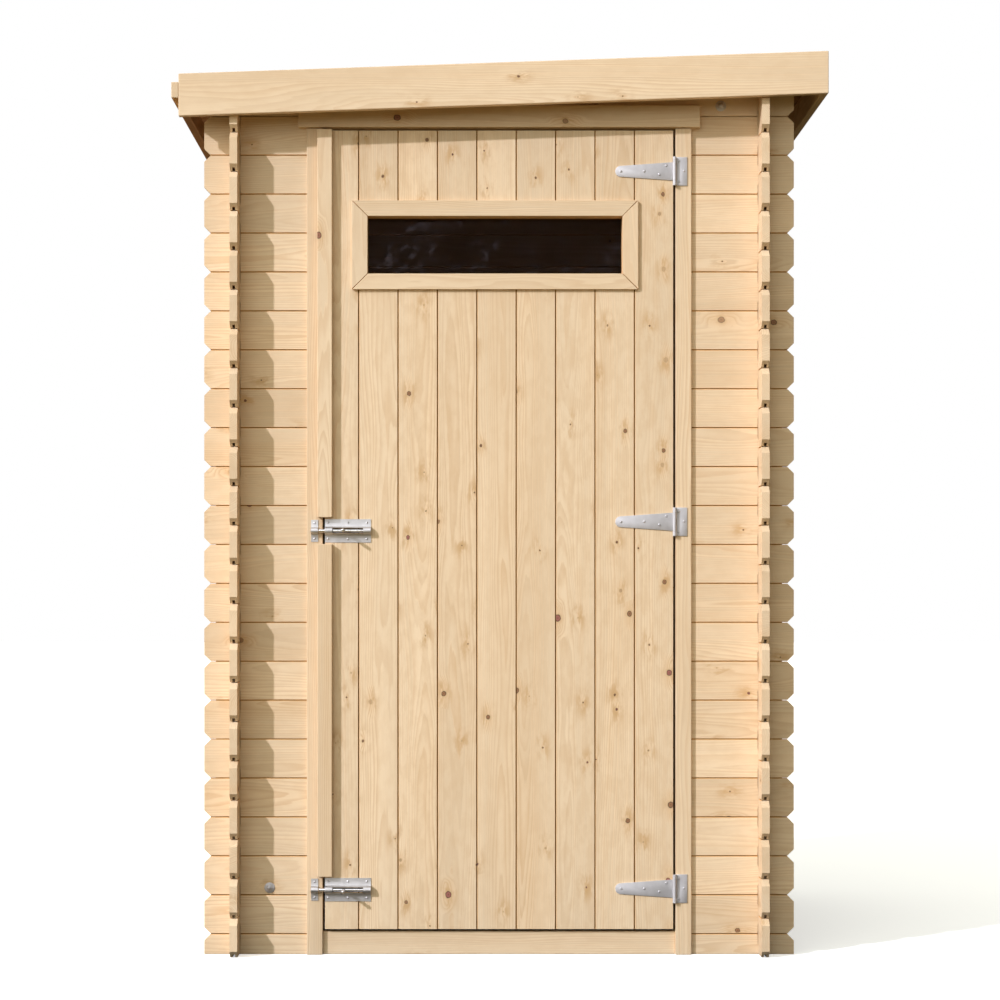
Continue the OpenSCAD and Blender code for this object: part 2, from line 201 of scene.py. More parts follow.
def cut_out(bm: Mesh, is_waste: Callable[[Vector], bool]) -> list:
    """Deletes the faces whose middles are waste.

    Args:
        bm: The mesh.
        is_waste: Tells whether a place is waste.

    Returns:
        The edges around the hole.
    """
    waste = [face for face in bm.faces if is_waste(face.calc_center_median())]
    bmesh.ops.delete(bm, geom=waste, context="FACES")
    return [edge for edge in bm.edges if edge.is_boundary]


def halve(bm: Mesh, along: Vector, start: float, end: float, level: float, side: int) -> None:
    """Cuts a slot across the upper or lower edge of a plank, as for a halving joint.

    Args:
        bm: The closed plank, lying on its edge.
        along: The plank's direction.
        start: Where the slot starts along the plank.
        end: Where the slot ends along the plank.
        level: The height of the slot's floor.
        side: 1 for a slot that is open upwards, -1 for one that is open downwards.
    """
    for distance in (start, end):
        score(bm, along * distance, along)
    score(bm, UP * level, UP)
    rim = cut_out(bm, lambda at: start < at.dot(along) < end and side * (at.z - level) > SMALL)
    floor = [edge for edge in rim if all(abs(v.co.z - level) < SMALL for v in edge.verts)]
    bmesh.ops.bridge_loops(bm, edges=floor)
    bmesh.ops.holes_fill(bm, edges=[edge for edge in bm.edges if edge.is_boundary])


def merge(bm: Mesh, addition: Mesh) -> None:
    """Adds one mesh to another and frees it.

    Args:
        bm: The mesh that grows.
        addition: The mesh that goes into it.
    """
    carrier = bpy.data.meshes.new("carrier")
    addition.to_mesh(carrier)
    addition.free()
    bm.from_mesh(carrier)
    bpy.data.meshes.remove(carrier)


def ease(bm: Mesh, radius: float, segments: int = 2, sharp: float = 40.0) -> None:
    """Rounds the sharp edges of a block.

    Args:
        bm: The block.
        radius: How far the rounding reaches from each edge.
        segments: How many facets each rounding has.
        sharp: The least angle between two faces of an edge that is rounded, in degrees.
    """
    least = math.radians(sharp)
    edges = [edge for edge in bm.edges if edge.is_manifold and edge.calc_face_angle() > least]
    bmesh.ops.bevel(
        bm,
        geom=edges,
        offset=radius,
        offset_type="OFFSET",
        segments=segments,
        profile=0.5,
        affect="EDGES",
        clamp_overlap=True,
        material=-1,
    )


def smooth(bm: Mesh, sharp: float = 35.0) -> None:
    """Shades a shape smoothly.

    Args:
        bm: The shape.
        sharp: The angle from which an edge stays sharp, in degrees.
    """
    limit = math.radians(sharp)
    for face in bm.faces:
        face.smooth = True
    for edge in bm.edges:
        edge.smooth = edge.is_manifold and edge.calc_face_angle() < limit


def put(name: str, data: bpy.types.ID) -> bpy.types.Object:
    """Puts an object into the scene.

    Args:
        name: Its name.
        data: Its mesh, light or camera.

    Returns:
        The object.
    """
    thing = bpy.data.objects.new(name, data)
    bpy.context.scene.collection.objects.link(thing)
    return thing


def put_mesh(name: str, bm: Mesh, material: bpy.types.Material) -> bpy.types.Object:
    """Puts a mesh into the scene.

    Args:
        name: The object's name.
        bm: The mesh, in the shed's frame. It is freed.
        material: What it wears.

    Returns:
        The object.
    """
    mesh = bpy.data.meshes.new(name)
    bm.to_mesh(mesh)
    bm.free()
    mesh.materials.append(material)
    return put(name, mesh)


# ---------------------------------------------------------------- finishes


class Wiring:
    """Adds and links the nodes of one node tree."""

    def __init__(self, tree: bpy.types.NodeTree) -> None:
        """Takes the tree that the nodes go into."""
        self.tree = tree

    def add(self, kind: str, inputs: dict | None = None, **settings: object) -> "Signal":
        """Adds a node.

        Args:
            kind: The node's kind.
            inputs: What its inputs are fed, by their names or numbers.
            settings: The node's own settings.

        Returns:
            Its first output.
        """
        node = self.tree.nodes.new(f"ShaderNode{kind}")
        for name, value in settings.items():
            setattr(node, name, value)
        self.feed(node, inputs or {})
        return Signal(self, node)

    def feed(self, node: bpy.types.Node, inputs: dict) -> None:
        """Feeds a node's inputs.

        Args:
            node: The node.
            inputs: A signal or a plain value for each input, by its name or number.
        """
        for name, value in inputs.items():
            if isinstance(value, Signal):
                self.tree.links.new(value.node.outputs[value.output], node.inputs[name])
            else:
                node.inputs[name].default_value = value

    def math(self, operation: str, *values: object, clamp: bool = False) -> "Signal":
        """Returns the result of a Math node."""
        return self.add("Math", dict(enumerate(values)), operation=operation, use_clamp=clamp)

    def split(self, vector: "Signal") -> list["Signal"]:
        """Returns the three parts of a vector or colour."""
        parts = self.add("SeparateXYZ", {0: vector})
        return [parts[i] for i in range(3)]

    def noise(
        self, at: "Signal", scales: Sequence[float], detail: float = 2.0, rough: float = 0.5
    ) -> "Signal":
        """Adds a Noise Texture.

        Args:
            at: The vector that it reads.
            scales: How much finer it is along each part of the vector.
            detail: Its detail.
            rough: Its roughness.

        Returns:
            Its value.
        """
        place = self.add("VectorMath", {0: at, 1: scales}, operation="MULTIPLY")
        inputs = {"Vector": place, "Scale": 1.0, "Detail": detail, "Roughness": rough}
        return self.add("TexNoise", inputs, noise_dimensions="3D")

    def blend(self, factor: object, first: object, second: object) -> "Signal":
        """Returns a mix of two colours."""
        return self.add("Mix", {"Factor": factor, 6: first, 7: second}, data_type="RGBA")[2]

    def scale(self, colour: object, factor: object) -> "Signal":
        """Returns a colour multiplied by one number."""
        return self.add("VectorMath", {0: colour, "Scale": factor}, operation="SCALE")

    def effect(
        self, tree: bpy.types.NodeTree, inputs: dict, strength: float, depth: float
    ) -> dict[str, "Signal"]:
        """Adds an effect's group and its relief.

        Args:
            tree: The effect's node group.
            inputs: What the group's inputs are fed.
            strength: How strong the relief is.
            depth: How deep it is.

        Returns:
            What the shader's inputs are fed from it.
        """
        effect = self.add("Group", inputs, node_tree=tree)
        relief = {"Strength": strength, "Distance": depth, "Height": effect["Height"]}
        feeds = {"Base Color": effect["Color"], "Roughness": effect["Roughness"]}
        return {**feeds, "Normal": self.add("Bump", relief)}


@dataclass(frozen=True)
class Signal:
    """One output of a node; reckoning with it adds the nodes that work the result out."""

    wiring: Wiring
    node: bpy.types.Node
    output: str | int = 0

    def __getitem__(self, output: str | int) -> "Signal":
        """Returns another output of the same node."""
        return replace(self, output=output)

    def __add__(self, other: object) -> "Signal":
        """Returns the sum."""
        return self.wiring.math("ADD", self, other)

    def __sub__(self, other: object) -> "Signal":
        """Returns the difference."""
        return self.wiring.math("SUBTRACT", self, other)

    def __rsub__(self, other: object) -> "Signal":
        """Returns what it leaves of a number."""
        return self.wiring.math("SUBTRACT", other, self)

    def __mul__(self, other: object) -> "Signal":
        """Returns the product."""
        return self.wiring.math("MULTIPLY", self, other)

    def __truediv__(self, other: object) -> "Signal":
        """Returns the quotient."""
        return self.wiring.math("DIVIDE", self, other)

    def greatest(self, other: object) -> "Signal":
        """Returns the greater of the two."""
        return self.wiring.math("MAXIMUM", self, other)

    def swing(self, amount: float, about: float = 0.5) -> "Signal":
        """Returns how far it stands from a middle value, times an amount."""
        return (self - about) * amount

    def step(self, low: float, high: float) -> "Signal":
        """Returns a smooth step from 0 at low to 1 at high."""
        inputs = {"Value": self, "From Min": low, "From Max": high}
        return self.wiring.add("MapRange", inputs, interpolation_type="SMOOTHSTEP")

    def fall(self, low: float, high: float) -> "Signal":
        """Returns a smooth step from 1 at low to 0 at high."""
        return 1.0 - self.step(low, high)

    def diagonal(self, other: "Signal") -> "Signal":
        """Returns the length of the diagonal over two sides."""
        return self.wiring.math("SQRT", self * self + other * other)


VECTOR = "NodeSocketVector"
NUMBER = "NodeSocketFloat"
COLOUR = "NodeSocketColor"


@dataclass(frozen=True)
class Effect:
    """A shader node group that works out a colour, a roughness and a height."""

    def work(self, w: Wiring, entry: Signal) -> dict[str, Signal]:
        """Adds the group's nodes and returns what each of its outputs is fed."""
        raise NotImplementedError

    def group(self, name: str, inputs: dict[str, str]) -> bpy.types.NodeTree:
        """Makes the node group.

        Args:
            name: Its name.
            inputs: The socket type of each input, by its name.

        Returns:
            The group.
        """
        group = bpy.data.node_groups.new(name, "ShaderNodeTree")
        outputs = {"Color": COLOUR, "Roughness": NUMBER, "Height": NUMBER}
        for way, sockets in (("INPUT", inputs), ("OUTPUT", outputs)):
            for socket, kind in sockets.items():
                group.interface.new_socket(socket, in_out=way, socket_type=kind)
        w = Wiring(group)
        entry = Signal(w, group.nodes.new("NodeGroupInput"))
        w.feed(group.nodes.new("NodeGroupOutput"), self.work(w, entry))
        return group


@dataclass(frozen=True)
class SpruceFigure(Effect):
    """Growth rings, fibres and knots of planed spruce, laid out from each board's own heart."""

    pale: Tint = (0.856, 0.668, 0.466, 1.0)
    late: Tint = (0.60, 0.365, 0.175, 1.0)
    amber: Tint = (0.62, 0.385, 0.185, 1.0)
    knot: Tint = (0.25, 0.125, 0.062, 1.0)
    red_knot: Tint = (0.28, 0.105, 0.085, 1.0)
    bark: Tint = (0.065, 0.032, 0.018, 1.0)
    # Painted shade colours: a warm orange mid shade and a deep brown shade.
    warm_shade: Tint = (0.88, 0.50, 0.20, 1.0)
    deep_shade: Tint = (0.32, 0.15, 0.045, 1.0)
    drift_scales: Sequence[float] = (1.1, 9.0, 9.0)
    ripple_scales: Sequence[float] = (6.0, 75.0, 75.0)
    fibre_scales: Sequence[float] = (22.0, 900.0, 900.0)
    stain_scales: Sequence[float] = (24.0, 60.0, 60.0)
    rag_scales: Sequence[float] = (210.0, 210.0, 210.0)
    narrow_ring: float = 0.0019
    ring_spread: float = 0.0019
    ring_drift: float = 0.055
    ring_ripple: float = 0.0035
    season_scale: float = 60.0
    season_swing: float = 3.0
    heart_reach: float = 0.052
    heart_edge: float = 0.020
    knot_cells: float = 9.2
    least_knot: float = 0.0013
    knot_spread: float = 0.0056
    knot_rag: float = 0.0028
    knot_rings: float = 2.6
    stain_reach: float = 0.024

    def work(self, w: Wiring, entry: Signal) -> dict[str, Signal]:
        """Adds the group's nodes.

        Args:
            w: The group's wiring.
            entry: Its inputs.

        Returns:
            What each of its outputs is fed.
        """
        grain, shade = entry["Grain"], entry["Shade"]
        tone, knotty, coarse = w.split(entry["Board"])
        along, across, through = w.split(grain)
        drift = w.noise(grain, self.drift_scales)
        lightness, boldness, warmth = w.split(drift["Color"])
        ripple = w.noise(grain, self.ripple_scales)
        fibre = w.noise(grain, self.fibre_scales, detail=3.0, rough=0.6)
        knots = self._knots(w, grain, knotty, along, across)

        radius = across.diagonal(through) + drift.swing(self.ring_drift)
        radius = radius + ripple.swing(self.ring_ripple) + knots["push"]
        phase = radius / (coarse * self.ring_spread + self.narrow_ring)
        seasons = {"W": radius * self.season_scale, "Scale": 1.0}
        seasons = w.add("TexNoise", seasons, noise_dimensions="1D")
        phase = phase + seasons.swing(self.season_swing)
        season = w.math("FRACT", phase)
        late = season.step(0.25, 0.85) * season.fall(0.90, 1.0)
        year = w.add("TexWhiteNoise", {"W": w.math("FLOOR", phase)}, noise_dimensions="1D")
        strength = boldness.step(0.30, 0.75) * 0.55 + year * 0.35 + knots["flow"] * 0.55
        line = w.math("MULTIPLY", late, strength + 0.10, clamp=True)

        colour = w.blend(line * 0.50, self.pale, self.late)
        core = radius.fall(self.heart_reach - self.heart_edge, self.heart_reach)
        colour = w.blend(warmth.step(0.42, 0.72) * 0.14 + core * 0.13, colour, self.amber)
        light = lightness.swing(0.13) + fibre.swing(0.11) + tone.swing(0.12)
        colour = w.scale(colour, light + strength.swing(0.16, 0.45) + 1.0)
        # Painted shade: faces marked by the shade attribute turn to the warm mid shade, then to the
        # deep shade.
        colour = w.blend(shade.step(0.0, 0.5), colour, self.warm_shade)
        colour = w.blend(shade.step(0.5, 1.0), colour, self.deep_shade)
        stain = w.noise(grain, self.stain_scales, detail=3.0, rough=0.6)
        stainable = w.math("MULTIPLY", knotty, 0.12, clamp=True) + 0.08 + knots["around"] * 0.72
        stained = (stain.step(0.38, 0.64) * stainable).greatest(knots["flow"] * 0.42)
        colour = w.blend(stained.greatest(knots["halo"] * 0.62), colour, self.amber)
        colour = w.blend(knots["mask"], colour, knots["colour"])

        rough = fibre.swing(0.16) + 0.60 - line * 0.10
        height = fibre * 0.5 + late * 0.25 + knots["mask"] * 0.35
        return {"Color": colour, "Roughness": rough, "Height": height}

    def _knots(
        self, w: Wiring, grain: Signal, knotty: Signal, along: Signal, across: Signal
    ) -> dict[str, Signal]:
        """Adds the knots of a board.

        Args:
            w: The group's wiring.
            grain: The board's grain coordinate.
            knotty: The share of places for knots that hold one.
            along: The coordinate's part along the fibres.
            across: Its part across the board.

        Returns:
            The knots' mask, halo and colour, how far they push the rings outwards and where,
            and the stained wood around them.
        """
        flat = w.add("CombineXYZ", {0: along, 1: across})
        inputs = {"Vector": flat, "Scale": self.knot_cells, "Randomness": 0.9}
        cells = w.add("TexVoronoi", inputs, voronoi_dimensions="2D", feature="F1")
        chance, size, hue = w.split(cells["Color"])
        present = w.math("LESS_THAN", chance, knotty)
        offset = w.add("VectorMath", {0: flat, 1: cells["Position"]}, operation="SUBTRACT")
        ahead, beside, _ = w.split(offset)
        reach = w.math("POWER", size, 3.0) * self.knot_spread + self.least_knot

        rag = w.noise(grain, self.rag_scales)
        ratio = ((ahead * 0.85).diagonal(beside) + rag.swing(self.knot_rag)) / reach
        mask = ratio.fall(0.80, 1.10) * ((hue.step(0.08, 0.35) * 0.70 + 0.30) * present)
        halo = ratio.fall(0.7, 3.0) * present
        flow = ((ahead * 0.30).diagonal(beside) / reach).fall(0.2, 3.4)
        flow = flow * w.math("ABSOLUTE", ahead).fall(0.024, 0.050) * present
        around = (ahead * 0.55).diagonal(beside).fall(0.002, self.stain_reach) * present

        rings = w.math("FRACT", ratio * self.knot_rings)
        broad = reach.step(0.0028, 0.0042)
        colour = w.blend(hue.step(0.66, 0.74), self.knot, self.red_knot)
        colour = w.scale(colour, rings * 0.4 + 0.80 + broad * 0.35)
        rim = ratio.step(0.58, 0.86) * 0.9
        heart = ratio.fall(0.10, 0.45) * (0.9 - broad * 0.5)
        colour = w.blend(rim.greatest(heart), colour, self.bark)
        found = {"mask": mask, "halo": halo, "colour": colour, "flow": flow, "around": around}
        return {**found, "push": flow * (reach * 1.25)}


@dataclass(frozen=True)
class ZincBloom(Effect):
    """Cloudy spangle and fine scratches of bright zinc plating."""

    cloud_scales: Sequence[float] = (70.0, 70.0, 70.0)
    scratch_scales: Sequence[float] = (160.0, 160.0, 2400.0)

    def work(self, w: Wiring, entry: Signal) -> dict[str, Signal]:
        """Adds the group's nodes.

        Args:
            w: The group's wiring.
            entry: Its inputs.

        Returns:
            What each of its outputs is fed.
        """
        cloud = w.noise(entry["Position"], self.cloud_scales, detail=3.0)
        scratch = w.noise(entry["Position"], self.scratch_scales)
        colour = w.blend(cloud.step(0.35, 0.65), entry["Dark"], entry["Bright"])
        rough = entry["Gloss"] + cloud.swing(0.10) + scratch.swing(0.14)
        return {"Color": colour, "Roughness": rough, "Height": scratch}


@dataclass(frozen=True)
class Finish:
    """A material, whose kinds say what its shader is fed."""

    name: str

    def feeds(self, w: Wiring) -> dict:
        """Returns what the shader's inputs are fed, by their names."""
        raise NotImplementedError

    def material(self) -> bpy.types.Material:
        """Returns the material."""
        material = bpy.data.materials.new(self.name)
        material.use_nodes = True
        w = Wiring(material.node_tree)
        w.feed(material.node_tree.nodes["Principled BSDF"], self.feeds(w))
        return material


@dataclass(frozen=True)
class Spruce(Finish):
    """Planed spruce, whose figure follows each board."""

    figure: bpy.types.NodeTree
    relief: float = 0.35
    grain_depth: float = 0.0005

    def feeds(self, w: Wiring) -> dict:
        """Wires the finish up.

        Args:
            w: The material's wiring.

        Returns:
            What the shader's inputs are fed, by their names.
        """
        # Shade carries the painted shade marked on each board's faces.
        outputs = {"Grain": "Vector", "Board": "Vector", "Shade": "Fac"}
        inputs = {
            name: w.add("Attribute", attribute_name=name.lower())[output]
            for name, output in outputs.items()
        }
        figured = w.effect(self.figure, inputs, self.relief, self.grain_depth)
        return {**figured, "Specular IOR Level": 0.35}


@dataclass(frozen=True)
class Plating(Finish):
    """Zinc-plated steel."""

    bloom: bpy.types.NodeTree
    dark: Tint
    bright: Tint
    gloss: float
    relief: float = 0.08
    scratch_depth: float = 0.0001

    def feeds(self, w: Wiring) -> dict:
        """Wires the finish up.

        Args:
            w: The material's wiring.

        Returns:
            What the shader's inputs are fed, by their names.
        """
        place = w.add("TexCoord")["Object"]
        inputs = {"Position": place, "Dark": self.dark, "Bright": self.bright, "Gloss": self.gloss}
        plated = w.effect(self.bloom, inputs, self.relief, self.scratch_depth)
        return {**plated, "Metallic": 1.0}


@dataclass(frozen=True)
class WindowGlass(Finish):
    """Plain window glass with a trace of dust, its reflection dimmed as painted shade and
    brightened in painted reflection streaks.
    """

    pane: Tint = (0.62, 0.50, 0.42, 1.0)
    clear: Tint = (0.12, 0.078, 0.058, 1.0)
    reflection_streaks: Tint = (0.55, 0.50, 0.58, 1.0)

    def feeds(self, w: Wiring) -> dict:
        """Wires the finish up.

        Args:
            w: The material's wiring.

        Returns:
            What the shader's inputs are fed, by their names.
        """
        place = w.add("TexCoord")["Object"]
        dust = w.noise(place, (26.0, 26.0, 26.0), detail=4.0)
        patch = w.noise(place, (8.0, 8.0, 12.0))
        streak = w.noise(place, (46.0, 46.0, 70.0), detail=5.0, rough=0.7)
        # Painted reflection: noise patches brighten the specular tint into reflection streaks;
        # elsewhere the dim tint darkens the reflection as painted shade.
        streaked = patch.step(0.44, 0.58) * streak.step(0.48, 0.66)
        return {
            "Base Color": self.pane,
            "Roughness": dust.step(0.55, 0.80) * 0.10 + 0.015,
            "Specular Tint": w.blend(streaked, self.clear, self.reflection_streaks),
            "Transmission Weight": 1.0,
            "IOR": 1.45,
        }


class Finishes:
    """The materials that the pieces wear."""

    def __init__(self) -> None:
        """Makes each material once."""
        inputs = {"Position": VECTOR, "Dark": COLOUR, "Bright": COLOUR, "Gloss": NUMBER}
        bloom = ZincBloom().group("zinc_bloom", inputs)
        inputs = {"Grain": VECTOR, "Board": VECTOR, "Shade": NUMBER}
        figure = SpruceFigure().group("spruce_figure", inputs)
        self.wood = Spruce("planed_spruce", figure).material()
        sheet = Plating(
            "zinc_sheet", bloom, (0.665, 0.655, 0.66, 1.0), (0.71, 0.70, 0.705, 1.0), 0.70
        )
        pressed = Plating(
            "pressed_zinc", bloom, (0.66, 0.65, 0.65, 1.0), (0.72, 0.71, 0.71, 1.0), 0.50
        )
        bright = Plating(
            "bright_zinc", bloom, (0.78, 0.78, 0.79, 1.0), (0.94, 0.94, 0.95, 1.0), 0.20
        )
        self.sheet, self.pressed = sheet.material(), pressed.material()
        self.bright = bright.material()
        self.glass = WindowGlass("window_glass_clear").material()


# ---------------------------------------------------------------- pieces


def publish(
    bm: Mesh,
    name: str,
    body: str,
    material: bpy.types.Material,
    nodes: Sequence[str] = (),
) -> None:
    """Turns a finished mesh into a piece of the shed.

    Args:
        bm: The mesh, in the shed's frame. It is freed.
        name: The piece's name.
        body: The body that it moves with.
        material: Its material.
        nodes: The solids that it stands for.
    """
    piece = put_mesh(name, bm, material)
    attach(piece, body)
    if nodes:
        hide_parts(*nodes)
    log.info("%s: %d faces on %s", name, len(piece.data.polygons), body)


@dataclass(frozen=True)
class Figure:
    """How one board was sawn from its log."""

    along: Vector
    across: Vector
    centre: Vector
    shift: Vector
    board: Vector

    def coordinate(self, point: Vector) -> Vector:
        """Returns a point's place along the fibres, across the board and through it."""
        ways = (self.along, self.across, self.along.cross(self.across))
        return Vector([(point - self.centre).dot(way) for way in ways]) + self.shift


class Sawmill:
    """Deals every board a figure of its own, the same way each run."""

    def __init__(self, seed: int) -> None:
        """Starts the draws at a seed."""
        self._random = random.Random(seed)

    def figure(self, along: Vector, across: Vector, centre: Vector, knotty: float) -> Figure:
        """Draws the figure of one board.

        Args:
            along: The direction of its fibres.
            across: The direction of its width.
            centre: Its middle.
            knotty: How knotty such boards are, from 0 to 1.

        Returns:
            The figure, with the heart some way behind the board's face.
        """
        draw = self._random
        heart = draw.uniform(0.012, 0.085) * draw.choice((-1, 1))
        shift = Vector((draw.uniform(0.0, 60.0), draw.uniform(-0.06, 0.06), heart))
        board = Vector((draw.random(), knotty * draw.uniform(0.4, 1.6), draw.random()))
        return Figure(along, across, centre, shift, board)


@dataclass(frozen=True)
class PaintedShade:
    """Painted shade on a board: darker colour on the faces in its joint gaps and on those that look
    certain ways, such as under the roof.
    """

    joints: tuple[float, ...] = ()
    ways: tuple[Vector, ...] = ()
    amount: float = 1.0
    arris: float = 0.5
    joint_reach: float = 0.008

    def mark(self, board: Mesh, along: Vector, across: Vector) -> None:
        """Marks the faces inside its joints and those that look one of the given ways with painted
        shade.

        Args:
            board: The board's mesh.
            along: The direction of its fibres.
            across: The direction of its width, along which its joints are placed.
        """
        board.normal_update()
        through = along.cross(across)
        depths = [vert.co.dot(through) for vert in board.verts]
        near, far = min(depths) + SMALL, max(depths) - SMALL
        shade = board.faces.layers.float.new("shade")
        for face in board.faces:
            at, normal = face.calc_center_median(), face.normal
            inner = near < at.dot(through) < far and abs(normal.dot(along)) < 0.1
            square = max(abs(normal.dot(across)), abs(normal.dot(through)))
            close = any(abs(at.dot(across) - joint) < self.joint_reach for joint in self.joints)
            turned_away = any(normal.dot(way) > 0.5 for way in self.ways)
            # Faces in the joint gaps and faces that look the given ways get the full painted shade;
            # the arrises beside the gaps get part of it.
            if turned_away or (inner and close and square > 0.9):
                face[shade] = self.amount
            elif inner and close and square > 0.6:
                face[shade] = self.arris * self.amount


@dataclass(frozen=True)
class Survey:
    """Sizes that several sub-assemblies share, read off the frame."""

    thickness: float
    side_face: float
    front_face: float
    half_front: float
    half_side: float
    starter: float
    top_joint: float
    low_top: float
    slope: float
    pitch: float
    purlin_w: float = 0.036
    purlin_h: float = 0.044

    @classmethod
    def read(cls, pitch: float = 0.082) -> "Survey":
        """Reads the sizes off the frame's boxes.

        Args:
            pitch: How much of a wall's height each plank covers.

        Returns:
            The sizes.
        """
        left_low, left_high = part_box("left_wall")
        right_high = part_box("right_wall")[1]
        front_low, front_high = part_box("front_wall_left")
        return cls(
            thickness=left_high.x - left_low.x,
            side_face=-left_low.x,
            front_face=-front_low.y,
            half_front=-front_low.x,
            half_side=-left_low.y,
            starter=front_high.z % pitch,
            top_joint=front_high.z,
            low_top=left_high.z,
            slope=(right_high.z - left_high.z) / (right_high.x - left_high.x),
            pitch=pitch,
        )

    def wall_top(self, x: float) -> float:
        """Returns the height of the walls' tops at a distance from the middle."""
        inner = -self.side_face + self.thickness
        return self.low_top + (x - inner) * self.slope

    def roof_normal(self) -> Vector:
        """Returns the direction straight out of the roof."""
        return Vector((-self.slope, 0.0, 1.0)).normalized()

    def follow_fall(self, bm: Mesh, pivot: float) -> None:
        """Shears a level board so that it follows the roof's fall.

        Args:
            bm: The board.
            pivot: The distance along X where it keeps its height.
        """
        shear = Matrix.Identity(4)
        shear[2][0] = self.slope
        shear[2][3] = -self.slope * pivot
        bmesh.ops.transform(bm, matrix=shear, verts=bm.verts)

    def purlins(self) -> list[tuple[float, float, float]]:
        """Returns the left side, the right side and the foot of each purlin."""
        low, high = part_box("roof_purlins")
        starts = (low.x, high.x - self.purlin_w)
        return [(x, x + self.purlin_w, self.wall_top(x) - self.purlin_h) for x in starts]


@dataclass(frozen=True)
class Shop:
    """What every sub-assembly is made with."""

    survey: Survey
    finishes: Finishes
    mill: Sawmill


class Timber:
    """Collects the boards that make up one wooden piece."""

    def __init__(self, shop: Shop) -> None:
        """Starts an empty pile of boards.

        Args:
            shop: What the piece is made with.
        """
        self._shop = shop
        self._pile = bmesh.new()
        for layer in ("grain", "board"):
            self._pile.verts.layers.float_vector.new(layer)
        # A face layer for painted shade.
        self._pile.faces.layers.float.new("shade")

    def add(
        self,
        board: Mesh,
        along: Vector,
        across: Vector,
        knotty: float = 0.36,
        painted_shade: PaintedShade = PaintedShade(),
    ) -> "Timber":
        """Adds a finished board and marks its grain.

        Args:
            board: The board's mesh, which is freed.
            along: The direction of its fibres.
            across: The direction of its width.
            knotty: How knotty it is, from 0 to 1.
            painted_shade: Where its faces get painted shade.

        Returns:
            The pile.
        """
        centre = sum((v.co for v in board.verts), Vector()) / len(board.verts)
        figure = self._shop.mill.figure(along, across, centre, knotty)
        grain = board.verts.layers.float_vector.new("grain")
        character = board.verts.layers.float_vector.new("board")
        painted_shade.mark(board, along, across)
        for vert in board.verts:
            vert[grain] = figure.coordinate(vert.co)
            vert[character] = figure.board
        merge(self._pile, board)
        return self

    def piece(self, name: str, body: str, node: str) -> None:
        """Makes the boards one piece on a body, in place of a node."""
        publish(self._pile, name, body, self._shop.finishes.wood, [node])


class Metalwork:
    """Collects the parts that make up one metal piece."""

    def __init__(self, *parts: Mesh) -> None:
        """Starts with some parts."""
        self._parts = bmesh.new()
        self.add(*parts)

    def add(self, *parts: Mesh) -> None:
        """Adds parts, which are freed."""
        for part in parts:
            smooth(part)
            merge(self._parts, part)

    def piece(
        self, name: str, body: str, material: bpy.types.Material, nodes: Sequence[str] = ()
    ) -> None:
        """Makes the parts one piece on a body, in place of some nodes."""
        publish(self._parts, name, body, material, nodes)


# ---------------------------------------------------------------- boards


@dataclass(frozen=True)
class Lay:
    """How a board lies: a point on its front, its run, the way to its back and its width's way."""

    start: Vector
    run: Vector
    out: Vector
    rise: Vector

    def sweep(self, section: Pairs) -> Mesh:
        """Sweeps a section of thicknesses and widths along the run."""
        corners = [self.start + self.out * t + self.rise * h for t, h in section]
        return prism(corners, self.run)


@dataclass(frozen=True)
class Tongued:
    """Section of a board with a tongue on one edge and a groove in the other."""

    thickness: float = 0.016
    gap: float = 0.0014
    arris: float = 0.0009
    tongue_w: float = 0.0050
    tongue_h: float = 0.0050
    groove_w: float = 0.0056
    groove_d: float = 0.0066

    def outline(self, low: float, high: float, worked: tuple[Edge, Edge]) -> Pairs:
        """Returns the section as pairs of thickness and width.

        Args:
            low: Where the lower edge's joint lies.
            high: Where the upper edge's joint lies.
            worked: How the lower and the upper edge are worked.
        """
        t, a, middle = self.thickness, self.arris, self.thickness / 2
        foot = low + (0.0 if worked[0] is Edge.SQUARE else self.gap / 2)
        top = high - (0.0 if worked[1] is Edge.SQUARE else self.gap / 2)
        points = [(0.0, foot + a), (a, foot)]
        if worked[0] is Edge.GROOVE:
            half = self.groove_w / 2
            points += [(middle - half, foot), (middle - half, foot + self.groove_d)]
            points += [(middle + half, foot + self.groove_d), (middle + half, foot)]
        points += [(t - a, foot), (t, foot + a), (t, top - a), (t - a, top)]
        if worked[1] is Edge.TONGUE:
            half = self.tongue_w / 2
            points += [(middle + half, top), (middle + half, top + self.tongue_h)]
            points += [(middle - half, top + self.tongue_h), (middle - half, top)]
        return [*points, (a, top), (0.0, top - a)]

    def tongue(self, joint: float) -> Pairs:
        """Returns the section of a tongue on its own, rooted in the board below a joint."""
        foot, top = joint - self.gap, joint - self.gap / 2 + self.tongue_h
        near, far = (self.thickness - self.tongue_w) / 2, (self.thickness + self.tongue_w) / 2
        return [(near, foot), (far, foot), (far, top), (near, top)]


def row_edges(i: int, count: int) -> tuple[Edge, Edge]:
    """Returns how the edges of one board in a row are worked: square at the row's own ends."""
    return (Edge.GROOVE if i > 0 else Edge.SQUARE, Edge.TONGUE if i < count - 1 else Edge.SQUARE)


